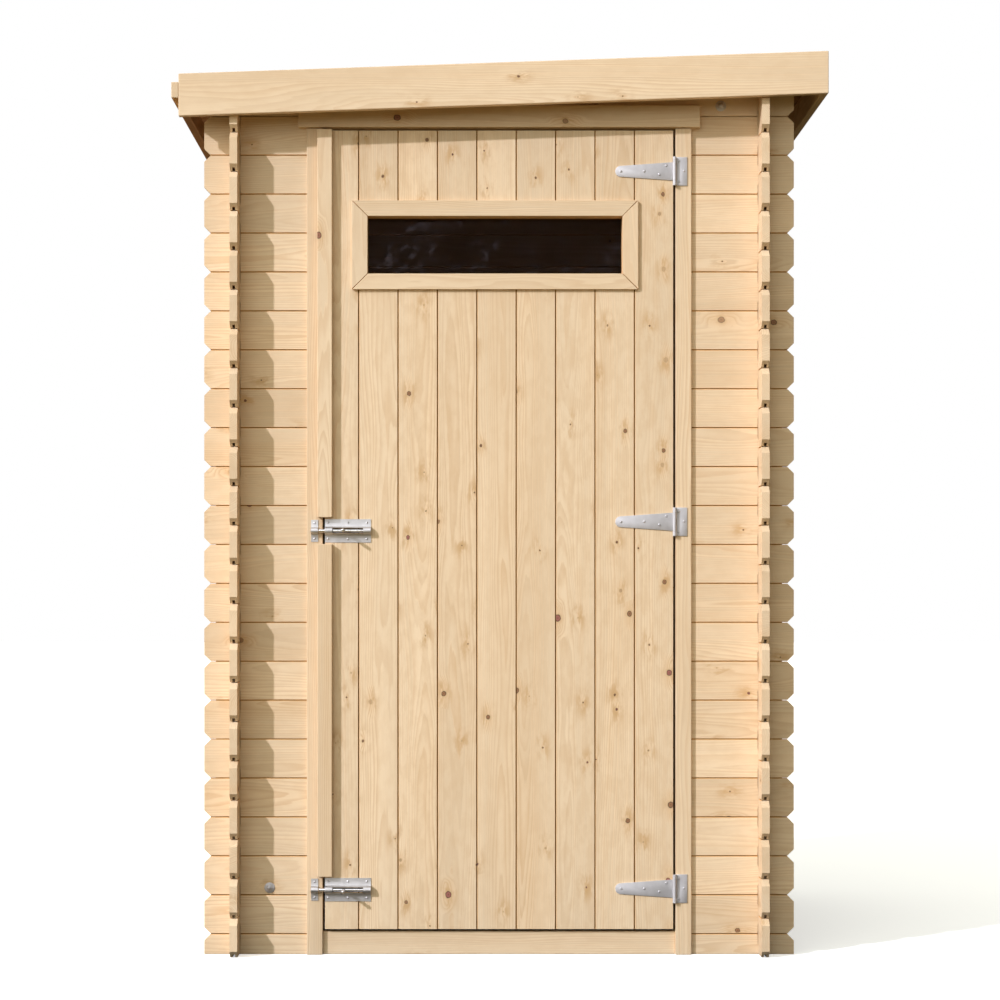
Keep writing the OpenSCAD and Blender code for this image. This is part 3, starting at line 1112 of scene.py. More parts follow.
@dataclass(frozen=True)
class LogWall:
    """A wall of stacked planks, whose ends cross its neighbours' half a plank out of step."""

    node: str
    shop: Shop
    chamfer: float = 0.014
    play: float = 0.0012
    tongue_stop: float = 0.024
    tongue_end: float = 0.001
    profile: Tongued = Tongued()

    @property
    def box(self) -> tuple[Vector, Vector]:
        """The wall's lowest and highest corners."""
        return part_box(self.node)

    @property
    def runs_right(self) -> bool:
        """Whether the wall is the front or the back one."""
        low, high = self.box
        return high.x - low.x > high.y - low.y

    @property
    def along(self) -> Vector:
        """The direction of its planks."""
        return RIGHT if self.runs_right else BACK

    def _joints(self) -> list[float]:
        """Returns the heights between which the wall's planks lie."""
        s, (low, high) = self.shop.survey, self.box
        first = s.starter if self.runs_right else s.pitch
        if high.z < s.top_joint + SMALL:
            last, closing = high.z - s.pitch, high.z
        else:
            last = min(s.wall_top(low.x), s.wall_top(high.x)) - self.chamfer
            closing = high.z + self.chamfer
        count = math.floor((last - first) / s.pitch + 0.01) + 1
        joints = [0.0, *(first + s.pitch * i for i in range(count)), closing]
        return [z for z in joints if z > low.z - SMALL]

    def _crossings(self) -> tuple[float, float]:
        """Returns how far off the middle the neighbours cross, and the foot of their first lap."""
        s = self.shop.survey
        if self.runs_right:
            return s.side_face - s.thickness / 2, s.starter / 2
        return s.front_face - s.thickness / 2, (s.starter - s.pitch) / 2

    def _slots(self, x: float, foot: float, top: float) -> list[tuple[float, int]]:
        """Returns the level and open side of the slots that a neighbour needs in a plank.

        Args:
            x: The crossing's place along X.
            foot: The height of the plank's lower edge.
            top: The height of its upper edge.
        """
        s = self.shop.survey
        _, first = self._crossings()
        top = min(top, s.wall_top(x))
        slots = []
        for i in range(-1, round(top / s.pitch) + 2):
            low, high = first + s.pitch * i, first + s.pitch * (i + 0.5)
            if foot + SMALL < low < top - SMALL and high > top - SMALL:
                slots.append((low, 1))
            if low < foot + SMALL < high < top - SMALL:
                slots.append((high, -1))
        return slots

    def plank(self, foot: float, top: float) -> Mesh:
        """Makes one plank with its chamfered ends and halving joints.

        Args:
            foot: The height of its lower joint.
            top: The height of its upper joint.

        Returns:
            The plank's closed mesh.
        """
        s, (low, high), along = self.shop.survey, self.box, self.along
        out = BACK if self.runs_right else RIGHT
        span = (low.dot(along), high.dot(along))
        roofed = top > high.z + SMALL
        grooved = foot > SMALL or not self.runs_right
        worked = (Edge.GROOVE if grooved else Edge.SQUARE, Edge.SQUARE if roofed else Edge.JOINT)
        lay = Lay(Vector((low.x, low.y, 0.0)), along * (span[1] - span[0]), out, UP)
        board = lay.sweep(self.profile.outline(foot, top, worked))
        if roofed:
            saw(board, UP * s.wall_top(0.0), s.roof_normal())
        half = s.half_front if self.runs_right else s.half_side
        free = [abs(end) > half - SMALL for end in span]
        for end, side, is_free in zip(span, (-1, 1), free):
            inner = along * (end - side * self.chamfer)
            if is_free and grooved:
                saw(board, inner + UP * foot, along * side - UP)
            if is_free and not roofed:
                saw(board, inner + UP * top, along * side + UP)
        reach = s.thickness / 2 + self.play
        crossing = self._crossings()[0]
        crossed = [middle for middle in (-crossing, crossing) if span[0] < middle < span[1]]
        for middle in crossed:
            for level, side in self._slots(middle if self.runs_right else low.x, foot, top):
                halve(board, along, middle - reach, middle + reach, level, side)
        if roofed and self.runs_right:
            for start, end, level in s.purlins():
                halve(board, RIGHT, start, end, level, 1)
        if not roofed and top < high.z - SMALL:
            stops = [self.tongue_stop if is_free else self.tongue_end for is_free in free]
            starts = [span[0] + stops[0], *(middle + reach for middle in crossed)]
            ends = [*(middle - reach for middle in crossed), span[1] - stops[1]]
            for start, end in zip(starts, ends):
                root = lay.start - along * lay.start.dot(along) + along * start
                tongue = replace(lay, start=root, run=along * (end - start))
                merge(board, tongue.sweep(self.profile.tongue(top)))
        return board

    def build(self, name: str) -> None:
        """Stacks the planks.

        Args:
            name: The name of the piece that they make up.
        """
        joints, (low, high) = self._joints(), self.box
        timber = Timber(self.shop)
        for edges in zip(joints, joints[1:]):
            inner = tuple(z for z in edges if low.z + SMALL < z < high.z - SMALL)
            # Painted shade in the gaps between the planks.
            timber.add(self.plank(*edges), self.along, UP, painted_shade=PaintedShade(inner))
        timber.piece(name, "root", self.node)


@dataclass(frozen=True)
class PlainBoard:
    """A planed board with eased edges that fills the box of a node."""

    node: str
    body: str
    along: Vector = RIGHT
    easing: float = 0.0014
    knotty: float = 0.22
    # Painted shade on its faces; none unless given.
    painted_shade: PaintedShade = PaintedShade()

    def build(self, shop: Shop) -> None:
        """Makes the board."""
        board = block(*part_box(self.node), self.easing)
        timber = Timber(shop).add(board, self.along, UP, self.knotty, self.painted_shade)
        timber.piece(f"{self.node}_planed", self.body, self.node)


@dataclass(frozen=True)
class Roof:
    """The roof boards on their purlins, with the boards and batten around their edges."""

    shop: Shop
    board_w: float = 0.0883
    easing: float = 0.0016
    play: float = 0.0001
    edge_knotty: float = 0.30
    board_knotty: float = 0.36
    # How much painted shade the batten's underside gets: a warm orange mid shade.
    batten_shade: float = 0.5

    def deck(self) -> None:
        """Lays the roof boards from side to side."""
        s = self.shop.survey
        low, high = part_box("roof_deck")
        depth = high.y - low.y
        count = round(depth / self.board_w)
        width = depth / count
        thickness = high.z - s.wall_top(high.x) - self.play
        profile = Tongued(thickness=thickness)
        start = Vector((low.x, 0.0, s.wall_top(low.x) + self.play))
        lay = Lay(start, RIGHT * (high.x - low.x), UP, BACK)
        timber = Timber(self.shop)
        for i in range(count):
            edges = (low.y + width * i, low.y + width * (i + 1))
            board = lay.sweep(profile.outline(*edges, row_edges(i, count)))
            s.follow_fall(board, low.x)
            # The boards' undersides get painted deep shade.
            timber.add(board, RIGHT, BACK, painted_shade=PaintedShade(ways=(-UP,)))
        timber.piece("roof_boards", "root", "roof_deck")

    def _sloped(self, low: Vector, high: Vector, height: float) -> Mesh:
        """Makes a board that follows the roof's fall.

        Args:
            low: The lowest corner of its box.
            high: The highest corner of its box.
            height: Its upright height.

        Returns:
            The board.
        """
        board = block(low, Vector((high.x, high.y, low.z + height)), self.easing)
        self.shop.survey.follow_fall(board, low.x)
        return board

    def edge_boards(self) -> None:
        """Fixes the fascias and the eave board."""
        for node in ("front_fascia", "back_fascia", "right_fascia", "eave_board"):
            low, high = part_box(node)
            height = high.z - low.z - self.shop.survey.slope * (high.x - low.x)
            along = RIGHT if high.x - low.x > high.y - low.y else BACK
            # The eave board's underside and inner face get painted deep shade.
            painted_shade = PaintedShade(ways=(-UP, RIGHT)) if node == "eave_board" else PaintedShade()
            board = self._sloped(low, high, height)
            timber = Timber(self.shop).add(board, along, UP, self.edge_knotty, painted_shade)
            timber.piece(f"{node}_planed", "root", node)

    def purlins(self) -> None:
        """Lays the purlins under the boards."""
        low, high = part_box("roof_purlins")
        timber = Timber(self.shop)
        for start, end, foot in self.shop.survey.purlins():
            height = self.shop.survey.wall_top(start) - foot
            corners = (Vector((start, low.y, foot)), Vector((end, high.y, 0.0)))
            timber.add(self._sloped(*corners, height), BACK, UP)
        timber.piece("roof_purlins_planed", "root", "roof_purlins")

    def build(self) -> None:
        """Builds the whole roof."""
        self.deck()
        self.edge_boards()
        self.purlins()
        # The batten's underside gets painted warm mid shade.
        shaded = PaintedShade(ways=(-UP,), amount=self.batten_shade)
        PlainBoard(
            "eave_batten", "root", BACK, self.easing, self.board_knotty, shaded
        ).build(self.shop)


@dataclass(frozen=True)
class DoorFrame:
    """The posts, sill, head and cover board around the doorway."""

    shop: Shop
    groove: float = 0.012
    play: float = 0.0003
    easing: float = 0.0015
    knotty: float = 0.12

    def post(self, node: str, side: int) -> None:
        """Makes a post with the groove that holds the plank ends.

        Args:
            node: The post's node.
            side: -1 for the left post and 1 for the right one.
        """
        s = self.shop.survey
        low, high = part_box(node)
        outer, inner = (low.x, high.x) if side < 0 else (high.x, low.x)
        near = -s.front_face - self.play
        far = near + s.thickness + 2 * self.play
        deep = outer - side * self.groove
        section = [(inner, low.y), (inner, high.y), (outer, high.y), (outer, far)]
        section += [(deep, far), (deep, near), (outer, near), (outer, low.y)]
        board = prism([Vector((x, y, low.z)) for x, y in section], UP * (high.z - low.z))
        ease(board, self.easing)
        timber = Timber(self.shop).add(board, UP, RIGHT, self.knotty)
        timber.piece(f"{node}_planed", "root", node)

    def build(self) -> None:
        """Builds the whole frame."""
        self.post("door_post_left", -1)
        self.post("door_post_right", 1)
        for node in ("door_sill", "door_head", "header_board"):
            PlainBoard(node, "root").build(self.shop)


# ---------------------------------------------------------------- door


@dataclass(frozen=True)
class Door:
    """The boarded leaf with its ledges and closing strip."""

    shop: Shop
    board_w: float = 0.0828
    middle_joint: float = 0.0360
    least_first: float = 0.2
    least_last: float = 0.5
    gap: float = 0.0021
    arris: float = 0.0006
    knotty: float = 0.66
    knotty_side: float = 0.10
    knotty_rise: float = 0.9
    strip_easing: float = 0.0014
    strip_knotty: float = 0.08

    def joints(self, low: float, high: float) -> list[float]:
        """Lays out the leaf's boards.

        Args:
            low: Where the leaf starts.
            high: Where it ends.

        Returns:
            Where the boards meet, with the leaf's two edges.
        """
        first = math.ceil((low - self.middle_joint) / self.board_w + self.least_first)
        end = math.ceil((high - self.middle_joint) / self.board_w - self.least_last)
        return [low, *(self.middle_joint + i * self.board_w for i in range(first, end)), high]

    def leaf(self) -> None:
        """Makes the leaf's boards, cut off over and under the window."""
        low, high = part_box("door_leaf")
        pane_low, pane_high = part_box("window_glass")
        joints = self.joints(low.x, high.x)
        profile = Tongued(thickness=high.y - low.y, gap=self.gap, arris=self.arris)
        timber = Timber(self.shop)
        for i, edges in enumerate(zip(joints, joints[1:])):
            spans = [(low.z, high.z)]
            if edges[0] < pane_high.x - SMALL and edges[1] > pane_low.x + SMALL:
                spans = [(low.z, pane_low.z), (pane_high.z, high.z)]
            knotty = self.knotty + self.knotty_rise * max(0.0, edges[0] - self.knotty_side)
            inner = tuple(x for x in edges if low.x + SMALL < x < high.x - SMALL)
            for foot, top in spans:
                lay = Lay(Vector((0.0, low.y, foot)), UP * (top - foot), BACK, RIGHT)
                board = lay.sweep(profile.outline(*edges, row_edges(i, len(joints) - 1)))
                # Painted shade in the gaps between the boards.
                timber.add(board, UP, RIGHT, knotty, PaintedShade(inner))
        timber.piece("door_boards", "door", "door_leaf")

    def strip(self) -> None:
        """Makes the closing strip in its two lengths, apart at the upper bolt."""
        low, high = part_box("closing_strip")
        bolt_low, bolt_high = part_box("bolt_plate_upper")
        upper = (bolt_low.z + bolt_high.z) / 2
        bolt_low, bolt_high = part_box("bolt_plate_lower")
        room = low.z - (bolt_low.z + bolt_high.z) / 2
        timber = Timber(self.shop)
        for foot, top in ((low.z, upper - room), (upper + room, high.z)):
            corners = (Vector((low.x, low.y, foot)), Vector((high.x, high.y, top)))
            timber.add(block(*corners, self.strip_easing), UP, RIGHT, self.strip_knotty)
        timber.piece("closing_strip_planed", "door", "closing_strip")

    def build(self) -> None:
        """Builds the whole leaf."""
        self.leaf()
        self.strip()
        for level in ("top", "middle", "bottom"):
            PlainBoard(f"door_ledge_{level}", "door").build(self.shop)


@dataclass(frozen=True)
class Window:
    """The fixed window in the door: mitred trim, liner, glass and inner trim."""

    shop: Shop
    trim_w: float = 0.033
    tuck: float = 0.010
    play: float = 0.0001
    trim_easing: float = 0.0008
    liner_easing: float = 0.0004
    mitre_gap: float = 0.0017
    # How much painted shade the faces lining the opening get.
    reveal_shade: float = 0.27
    knotty: float = 0.06

    def _ring(
        self, timber: Timber, low: Vector, high: Vector, lap: float, width: float, easing: float
    ) -> None:
        """Adds four mitred boards around the clear opening.

        Args:
            timber: Where the boards go.
            low: The lowest corner of the clear opening, at the boards' front.
            high: Its highest corner, at the boards' back.
            lap: How far the boards' inner edges stand back from the opening.
            width: How far their outer edges stand back.
            easing: How far their edges are rounded.
        """
        rims = []
        for reach in (width, lap):
            x_low, x_high = low.x - reach, high.x + reach
            z_low, z_high = low.z - reach, high.z + reach
            rims.append([(x_low, z_low), (x_high, z_low), (x_high, z_high), (x_low, z_high)])
        outer, inner = rims
        for i, way in enumerate((UP, -RIGHT, -UP, RIGHT)):
            j = (i + 1) % 4
            flat = i % 2 == 0
            corners = [Vector((x, low.y, z)) for x, z in (outer[i], outer[j], inner[j], inner[i])]
            board = prism(corners, BACK * (high.y - low.y))
            middle = sum(corners, Vector()) / 4
            shrink = 1.0 - self.mitre_gap / (corners[1] - corners[0]).length
            bmesh.ops.scale(
                board,
                vec=Vector((shrink, 1.0, 1.0)) if flat else Vector((1.0, 1.0, shrink)),
                space=Matrix.Translation(-middle),
                verts=board.verts,
            )
            ease(board, easing)
            # The face that looks into the opening gets painted shade.
            painted_shade = PaintedShade(ways=(way,), amount=self.reveal_shade)
            grain = (RIGHT, UP) if flat else (UP, RIGHT)
            timber.add(board, *grain, self.knotty, painted_shade)

    def build(self) -> None:
        """Builds the whole window."""
        pane_low, pane_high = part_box("window_glass")
        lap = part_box("window_liner")[0].x - pane_low.x + self.tuck
        low, high = pane_low + Vector((lap, 0, lap)), pane_high - Vector((lap, 0, lap))
        rims = {"trim": (self.trim_w, self.trim_easing), "liner": (lap, self.liner_easing)}
        for part, (outer, easing) in rims.items():
            node_low, node_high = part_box(f"window_{part}")
            timber = Timber(self.shop)
            low.y, high.y = node_low.y, node_high.y
            self._ring(timber, low, high, 0.0, outer, easing)
            timber.piece(f"window_{part}_mitred", "door", f"window_{part}")
        bead_low, bead_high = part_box("window_bead")
        timber = Timber(self.shop)
        low.y, high.y = bead_low.y, pane_high.y
        self._ring(timber, low, high, lap + 2 * self.play, self.trim_w, self.liner_easing)
        low.y, high.y = pane_high.y + self.play, bead_high.y
        self._ring(timber, low, high, 0.0, self.trim_w, self.trim_easing)
        timber.piece("window_bead_mitred", "door", "window_bead")
        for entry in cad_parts["window_glass"].material_slots:
            entry.material = self.shop.finishes.glass


# ---------------------------------------------------------------- fittings


@dataclass(frozen=True)
class ScrewHead:
    """A domed screw head with a dimpled drive."""

    radius: float = 0.0029
    rise: float = 0.0013

    def build(self, at: Vector) -> Mesh:
        """Makes a head that looks forwards.

        Args:
            at: The middle of its foot.

        Returns:
            The head's closed mesh.
        """
        r, h = self.radius, self.rise
        profile = [(0.0, 0.0), (r, 0.0), (0.97 * r, 0.25 * h), (0.78 * r, 0.72 * h)]
        profile += [(0.50 * r, 0.97 * h), (0.40 * r, h), (0.30 * r, 0.45 * h), (0.0, 0.30 * h)]
        return stand(turned(profile, 16), at, -BACK)


@dataclass(frozen=True)
class CoachBoltHead:
    """A domed bolt head on a broad flange, on the outside of a wall."""

    radius: float = 0.0113
    dome: float = 0.0056

    def build(self, at: Vector, axis: Vector) -> Mesh:
        """Makes a head.

        Args:
            at: The middle of its foot.
            axis: Which way it stands.

        Returns:
            The head's closed mesh.
        """
        r, d = self.radius, self.dome
        profile = [(0.0, 0.0), (r, 0.0), (r, 0.0006), (0.93 * r, 0.0013), (0.62 * r, 0.0021)]
        profile += [(1.02 * d, 0.0024), (0.95 * d, 0.0034), (0.70 * d, 0.0046)]
        profile += [(0.38 * d, 0.0052), (0.0, 0.0054)]
        return stand(turned(profile, 28), at, axis)


@dataclass(frozen=True)
class Hinge:
    """A T-hinge: the tapered strap on the door and the plate with its pin on the post."""

    level: str
    finishes: Finishes
    sheet_t: float = 0.002
    knuckle_r: float = 0.0042
    pin_r: float = 0.0020
    pin_play: float = 0.00005
    tip_h: float = 0.023
    easing: float = 0.0004
    roll_easing: float = 0.00025
    gap: float = 0.0003
    relief: float = 0.001
    plate_screw_r: float = 0.0026
    strap_screws: tuple[Pair, ...] = (
        (-0.1125, 0.0), (-0.0635, 0.0005), (-0.0318, -0.0063), (-0.0175, 0.0120)
    )
    plate_screws: tuple[Pair, ...] = ((0.0092, 0.0215), (0.0200, 0.0010), (0.0092, -0.0215))

    def _roll(self, x: float, foot: float, top: float, side: int) -> Mesh:
        """Makes one rolled knuckle around the pin, open where its sheet leaves it.

        Args:
            x: The pin's X.
            foot: The height of the roll's foot.
            top: The height of its top.
            side: -1 for a sheet that leaves to the left and 1 for one that leaves to the right.

        Returns:
            The roll's closed mesh.
        """
        at, sweep = (x, self._pin_y()), (90.0, 90.0 + side * 300.0)
        section = arc(at, self.knuckle_r, *sweep, 26)
        section += arc(at, self.pin_r + self.pin_play, *reversed(sweep), 26)
        roll = prism([Vector((u, v, foot)) for u, v in section], UP * (top - foot))
        ease(roll, self.roll_easing, 1, 60.0)
        return roll

    def _pin_y(self) -> float:
        """Returns the pin's Y."""
        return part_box(f"hinge_strap_{self.level}")[0].y + self.knuckle_r

    def _sheet(
        self, outline: Pairs, face: float, at: Pair, screws: tuple[Pair, ...], radius: float
    ) -> list[Mesh]:
        """Cuts a sheet and sets its screws.

        Args:
            outline: The sheet's outline in X and Z.
            face: The Y of the face that it lies on.
            at: The X and Z that the screws' places are measured from.
            screws: The screws' places.
            radius: The radius of their heads.

        Returns:
            The sheet and the screws.
        """
        sheet = prism([Vector((x, face, z)) for x, z in outline], -BACK * self.sheet_t)
        ease(sheet, self.easing, 2, 50.0)
        places = [Vector((at[0] + x, face - self.sheet_t, at[1] + z)) for x, z in screws]
        return [sheet, *(ScrewHead(radius).build(place) for place in places)]

    def strap(self) -> None:
        """Makes the strap with its eye and screws."""
        node = f"hinge_strap_{self.level}"
        low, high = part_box(node)
        x = high.x - self.knuckle_r
        middle, half = (low.z + high.z) / 2, (high.z - low.z) / 2
        tip = self.tip_h / 2
        outline = arc((low.x + tip, middle), tip, 97.0, 263.0, 16)
        outline += [(x, middle - half), (x, middle + half)]
        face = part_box("door_leaf")[0].y
        sheet, *screws = self._sheet(
            outline, face, (x, middle), self.strap_screws, ScrewHead.radius
        )
        metal = Metalwork(sheet, self._roll(x, low.z, high.z, -1), *screws)
        metal.piece(f"{node}_zinc", "door", self.finishes.sheet, [node])

    def plate(self) -> None:
        """Makes the plate with its two knuckles, pin and screws."""
        node = f"hinge_plate_{self.level}"
        low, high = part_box(node)
        foot, top = (corner.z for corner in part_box(f"hinge_strap_{self.level}"))
        foot, top = foot - self.gap, top + self.gap
        x, r = low.x + self.knuckle_r, self.pin_r
        relief = x + self.knuckle_r + self.relief
        outline = [(x, low.z), (high.x, low.z), (high.x, high.z), (x, high.z)]
        outline += [(x, top), (relief, top), (relief, foot), (x, foot)]
        face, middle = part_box("door_post_right")[0].y, (low.z + high.z) / 2
        sheet, *screws = self._sheet(
            outline, face, (x, middle), self.plate_screws, self.plate_screw_r
        )
        rolls = self._roll(x, low.z, foot, 1), self._roll(x, top, high.z, 1)
        pin = turned([(0.0, low.z), (r, low.z), (r, high.z), (0.0, high.z)], 20)
        bmesh.ops.translate(pin, vec=Vector((x, self._pin_y(), 0.0)), verts=pin.verts)
        metal = Metalwork(sheet, *rolls, pin, *screws)
        metal.piece(f"{node}_zinc", "root", self.finishes.sheet, [node])


@dataclass(frozen=True)
class BarrelBolt:
    """A barrel bolt: the pressed plate on the door, its sliding rod and the keeper on the post."""

    level: str
    finishes: Finishes
    sheet_t: float = 0.0015
    fillet: float = 0.0014
    slot_half: float = 0.0060
    slot_end: float = 0.016
    screw_r: float = 0.0025
    plate_screws: Pair = (0.0065, 0.0085)
    plate_rise: float = 0.0172
    keeper_rise: float = 0.0165
    rod_r: float = 0.0040
    tip_r: float = 0.0012
    end_r: float = 0.0008
    knob_x: float = 0.053
    knob_r: float = 0.0035
    neck_r: float = 0.0024

    @property
    def axis_y(self) -> float:
        """The Y of the rod's axis."""
        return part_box(f"bolt_rod_{self.level}")[1].y - self.rod_r

    def _pressing(self, low: Vector, high: Vector) -> Mesh:
        """Presses a strip of sheet over the rod.

        Args:
            low: The lowest corner of the strip's box.
            high: Its highest corner.

        Returns:
            The pressing's closed mesh.
        """
        s, f, half = self.sheet_t, self.fillet, (high.z - low.z) / 2
        centre, middle = (0.0, high.y - self.axis_y), (low.z + high.z) / 2
        radius = self.axis_y - low.y
        left, right = (-radius - f, s + f), (radius + f, s + f)
        section = [(-half, s), *arc(left, f, 270.0, 360.0, 3), *arc(centre, radius, 180.0, 0.0, 16)]
        section += [*arc(right, f, 180.0, 270.0, 3), (half, s), (half, 0.0)]
        section += [*arc(right, f + s, 265.0, 200.0, 3), *arc(centre, radius - s, 0.0, 180.0, 16)]
        section += [*arc(left, f + s, 340.0, 275.0, 3), (-half, 0.0)]
        corners = [Vector((low.x, high.y - d, middle + z)) for z, d in section]
        return prism(corners, RIGHT * (high.x - low.x))

    def _open_slot(self, bm: Mesh, start: float, end: float, middle: float) -> None:
        """Cuts the slot that the knob runs in through the front of a barrel.

        Args:
            bm: The pressing.
            start: Where the slot starts along X.
            end: Where it ends along X.
            middle: Its height.
        """
        half, depth = self.slot_half, self.axis_y
        for x in (start, end):
            score(bm, RIGHT * x, RIGHT)
        for z in (middle - half, middle + half):
            score(bm, UP * z, UP)
        rim = cut_out(
            bm, lambda at: start < at.x < end and abs(at.z - middle) < half and at.y < depth
        )
        bmesh.ops.bridge_loops(bm, edges=rim)
        bmesh.ops.recalc_face_normals(bm, faces=bm.faces)

    def _fixed(self, part: str, body: str, rise: float) -> None:
        """Makes the plate or the keeper with its screws.

        Args:
            part: Which of the two it is.
            body: The body that it is fixed to.
            rise: How far its screws stand above and below its middle.
        """
        node = f"bolt_{part}_{self.level}"
        low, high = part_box(node)
        middle = (low.z + high.z) / 2
        pressing = self._pressing(low, high)
        places = [(low.x + high.x) / 2]
        if part == "plate":
            self._open_slot(pressing, low.x + self.slot_end, high.x - self.slot_end, middle)
            places = [low.x + self.plate_screws[0], *places, high.x - self.plate_screws[1]]
        metal = Metalwork(pressing)
        for x in places:
            for up in (-rise, rise):
                at = Vector((x, high.y - self.sheet_t, middle + up))
                metal.add(ScrewHead(self.screw_r).build(at))
        metal.piece(f"{node}_zinc", body, self.finishes.pressed, [node])

    def rod(self) -> None:
        """Makes the rod with its rounded tip and the stud that moves it."""
        node = f"bolt_rod_{self.level}"
        low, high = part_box(node)
        r, t, e, k = self.rod_r, self.tip_r, self.end_r, self.knob_r
        length, reach = high.x - low.x, self.axis_y - low.y
        turns = (0.0, 0.5, 1.0, math.pi / 2)
        tip = [(r - t + t * math.sin(a), t - t * math.cos(a)) for a in turns]
        shaft = turned([(0.0, 0.0), *tip, (r, length - e), (r - e, length), (0.0, length)], 28)
        stud = [(0.0, 0.0), (self.neck_r, 0.0), (self.neck_r, r + 0.0012), (k, r + 0.0022)]
        stud += [(k, reach - 0.0022), (0.8 * k, reach - 0.0008), (0.4 * k, reach - 0.0001)]
        foot, knob = (Vector((x, self.axis_y, (low.z + high.z) / 2))
                      for x in (low.x, low.x + self.knob_x))
        shaft, stud = stand(shaft, foot, RIGHT), turned([*stud, (0.0, reach)], 24)
        metal = Metalwork(shaft, stand(stud, knob, -BACK))
        metal.piece(f"{node}_bright", f"{self.level}_bolt", self.finishes.bright, [node])

    def build(self) -> None:
        """Builds the whole bolt."""
        for part, body, rise in (
            ("plate", "door", self.plate_rise), ("keeper", "root", self.keeper_rise)
        ):
            self._fixed(part, body, rise)
        self.rod()


def wall_bolts(shop: Shop) -> None:
    """Sets the coach bolt heads on the front and back walls.

    Args:
        shop: What they are made with.
    """
    places = ((-0.483, 0.140), (0.467, 1.7865))
    metal = Metalwork()
    for x, z in places:
        for way in (-BACK, BACK):
            at = Vector((x, way.y * shop.survey.front_face, z))
            metal.add(CoachBoltHead().build(at, way))
    metal.piece("wall_bolt_heads", "root", shop.finishes.sheet)


# ---------------------------------------------------------------- studio


@dataclass(frozen=True)
class FloorPaint(Finish):
    """Plain pale paint, which throws less light back at the shed the nearer it lies."""

    near: Tint = (0.02, 0.02, 0.02, 1.0)
    bounce: Tint = (0.21, 0.155, 0.065, 1.0)
    bounce_from: float = -0.6
    bounce_to: float = -1.2
    glow: float = 0.5
    indoors: tuple[float, float] = (0.554, 0.506)

    def feeds(self, w: Wiring) -> dict:
        """Wires the finish up.

        Args:
            w: The material's wiring.

        Returns:
            What the shader's inputs are fed, by their names.
        """
        place = w.add("TexCoord")["Object"]
        seen = w.add("LightPath")["Is Camera Ray"]
        x, y, _ = w.split(place)
        pale = w.scale(WHITE[:3], w.noise(place, (0.8, 0.8, 0.8)).swing(0.02) + 0.95)
        dim = w.blend(y.step(self.bounce_to, self.bounce_from), self.bounce, self.near)
        beside, beyond = (
            w.math("GREATER_THAN", w.math("ABSOLUTE", part), wall)
            for part, wall in zip((x, y), self.indoors)
        )
        return {
            "Base Color": w.blend(seen, dim, pale),
            "Emission Strength": seen * (beside.greatest(beyond) * self.glow),
            "Emission Color": WHITE,
            "Roughness": 0.9,
            "Specular IOR Level": 0.0,
        }


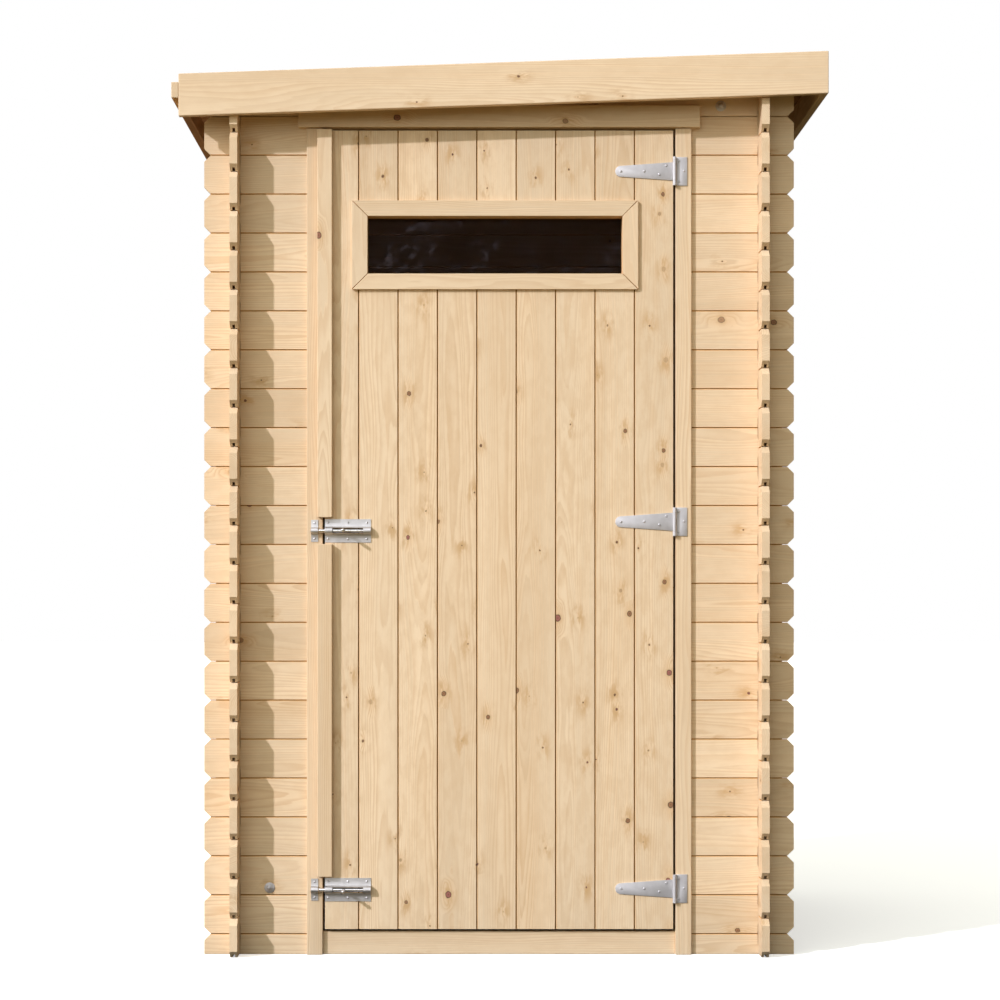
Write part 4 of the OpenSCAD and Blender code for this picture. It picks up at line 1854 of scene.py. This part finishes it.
@dataclass(frozen=True)
class Studio:
    """A plain pale floor, one soft sun, an even surround and the camera."""

    distance: float = 4.705
    aside: float = -0.085
    eye: float = 0.7330
    lens: float = 80.41
    shift: tuple[float, float] = (0.0413, 0.1062)
    sunlight: tuple[float, float, float] = (1.22, 1.0, -0.87)
    sun_strength: float = 2.72
    sun_width: float = 1.6
    sun_tint: tuple[float, float, float] = (0.903, 0.91, 1.0)
    sky: Tint = (1.0, 1.0, 0.86, 1.0)
    above: float = 1.80
    right_shade: float = 0.85
    back_shade: float = 0.5

    def floor(self) -> None:
        """Lays the floor."""
        bm = bmesh.new()
        bmesh.ops.create_grid(bm, x_segments=2, y_segments=2, size=40.0)
        floor = put_mesh("studio_floor", bm, FloorPaint("studio_floor_paint").material())

    def sun(self) -> None:
        """Hangs the sun."""
        sun = bpy.data.lights.new("sun", "SUN")
        sun.energy = self.sun_strength
        sun.angle = math.radians(self.sun_width)
        sun.color = self.sun_tint
        lamp = put("sun", sun)
        lamp.rotation_mode = "QUATERNION"
        lamp.rotation_quaternion = Vector(self.sunlight).to_track_quat("-Z", "Y")

    def surround(self) -> None:
        """Sets up the even light from around, white where it is seen."""
        world = bpy.data.worlds.new("surround")
        world.use_nodes = True
        nodes = world.node_tree.nodes
        w = Wiring(world.node_tree)
        rays = w.add("LightPath")
        side, depth, rise = w.split(w.add("TexCoord")["Generated"])
        share = rise.step(-0.15, 0.15) * self.above
        share = share * (1.0 - side.step(-0.4, 0.6) * self.right_shade)
        share = share * (1.0 - depth.step(-1.0, 0.0) * self.back_shade)
        colour = w.blend(rays["Is Glossy Ray"], self.sky, WHITE)
        w.feed(nodes["Background"], {"Color": colour, "Strength": share})
        lit, seen = Signal(w, nodes["Background"]), w.add("Background", {"Color": WHITE})
        mix = w.add("MixShader", {0: rays["Is Camera Ray"], 1: lit, 2: seen})
        w.feed(nodes["World Output"], {"Surface": mix})
        bpy.context.scene.world = world

    def camera(self, front_face: float) -> None:
        """Sets the camera up in front of the door, level and looking straight back.

        Args:
            front_face: How far the front wall stands from the middle.
        """
        data = bpy.data.cameras.new("camera")
        data.lens = self.lens
        data.sensor_width = 36.0
        data.shift_x, data.shift_y = self.shift
        data.clip_end = 200.0
        camera = put("camera", data)
        camera.location = (self.aside, -front_face - self.distance, self.eye)
        camera.rotation_euler = (math.pi / 2, 0.0, 0.0)
        bpy.context.scene.camera = camera

    def build(self, front_face: float) -> None:
        """Builds the whole studio.

        Args:
            front_face: How far the front wall stands from the middle.
        """
        self.camera(front_face)
        self.floor()
        self.sun()
        self.surround()
        bpy.context.scene.view_settings.view_transform = "Standard"


def main() -> None:
    """Builds the shed's pieces in order."""
    logging.basicConfig(level=logging.INFO, format="%(message)s")
    shop = Shop(Survey.read(), Finishes(), Sawmill(19))
    Studio().build(shop.survey.front_face)
    for node in ("left_wall", "right_wall", "back_wall", "front_wall_left", "front_wall_right"):
        LogWall(node, shop).build(f"{node}_planks")
    LogWall("front_wall_top", shop).build("front_wall_top_plank")
    Roof(shop).build()
    DoorFrame(replace(shop, mill=Sawmill(16))).build()
    Door(shop).build()
    Window(shop).build()
    for level in ("top", "middle", "bottom"):
        hinge = Hinge(level, shop.finishes)
        hinge.strap()
        hinge.plate()
    for level in ("upper", "lower"):
        BarrelBolt(level, shop.finishes).build()
    wall_bolts(shop)


if __name__ == "__main__":
    main()
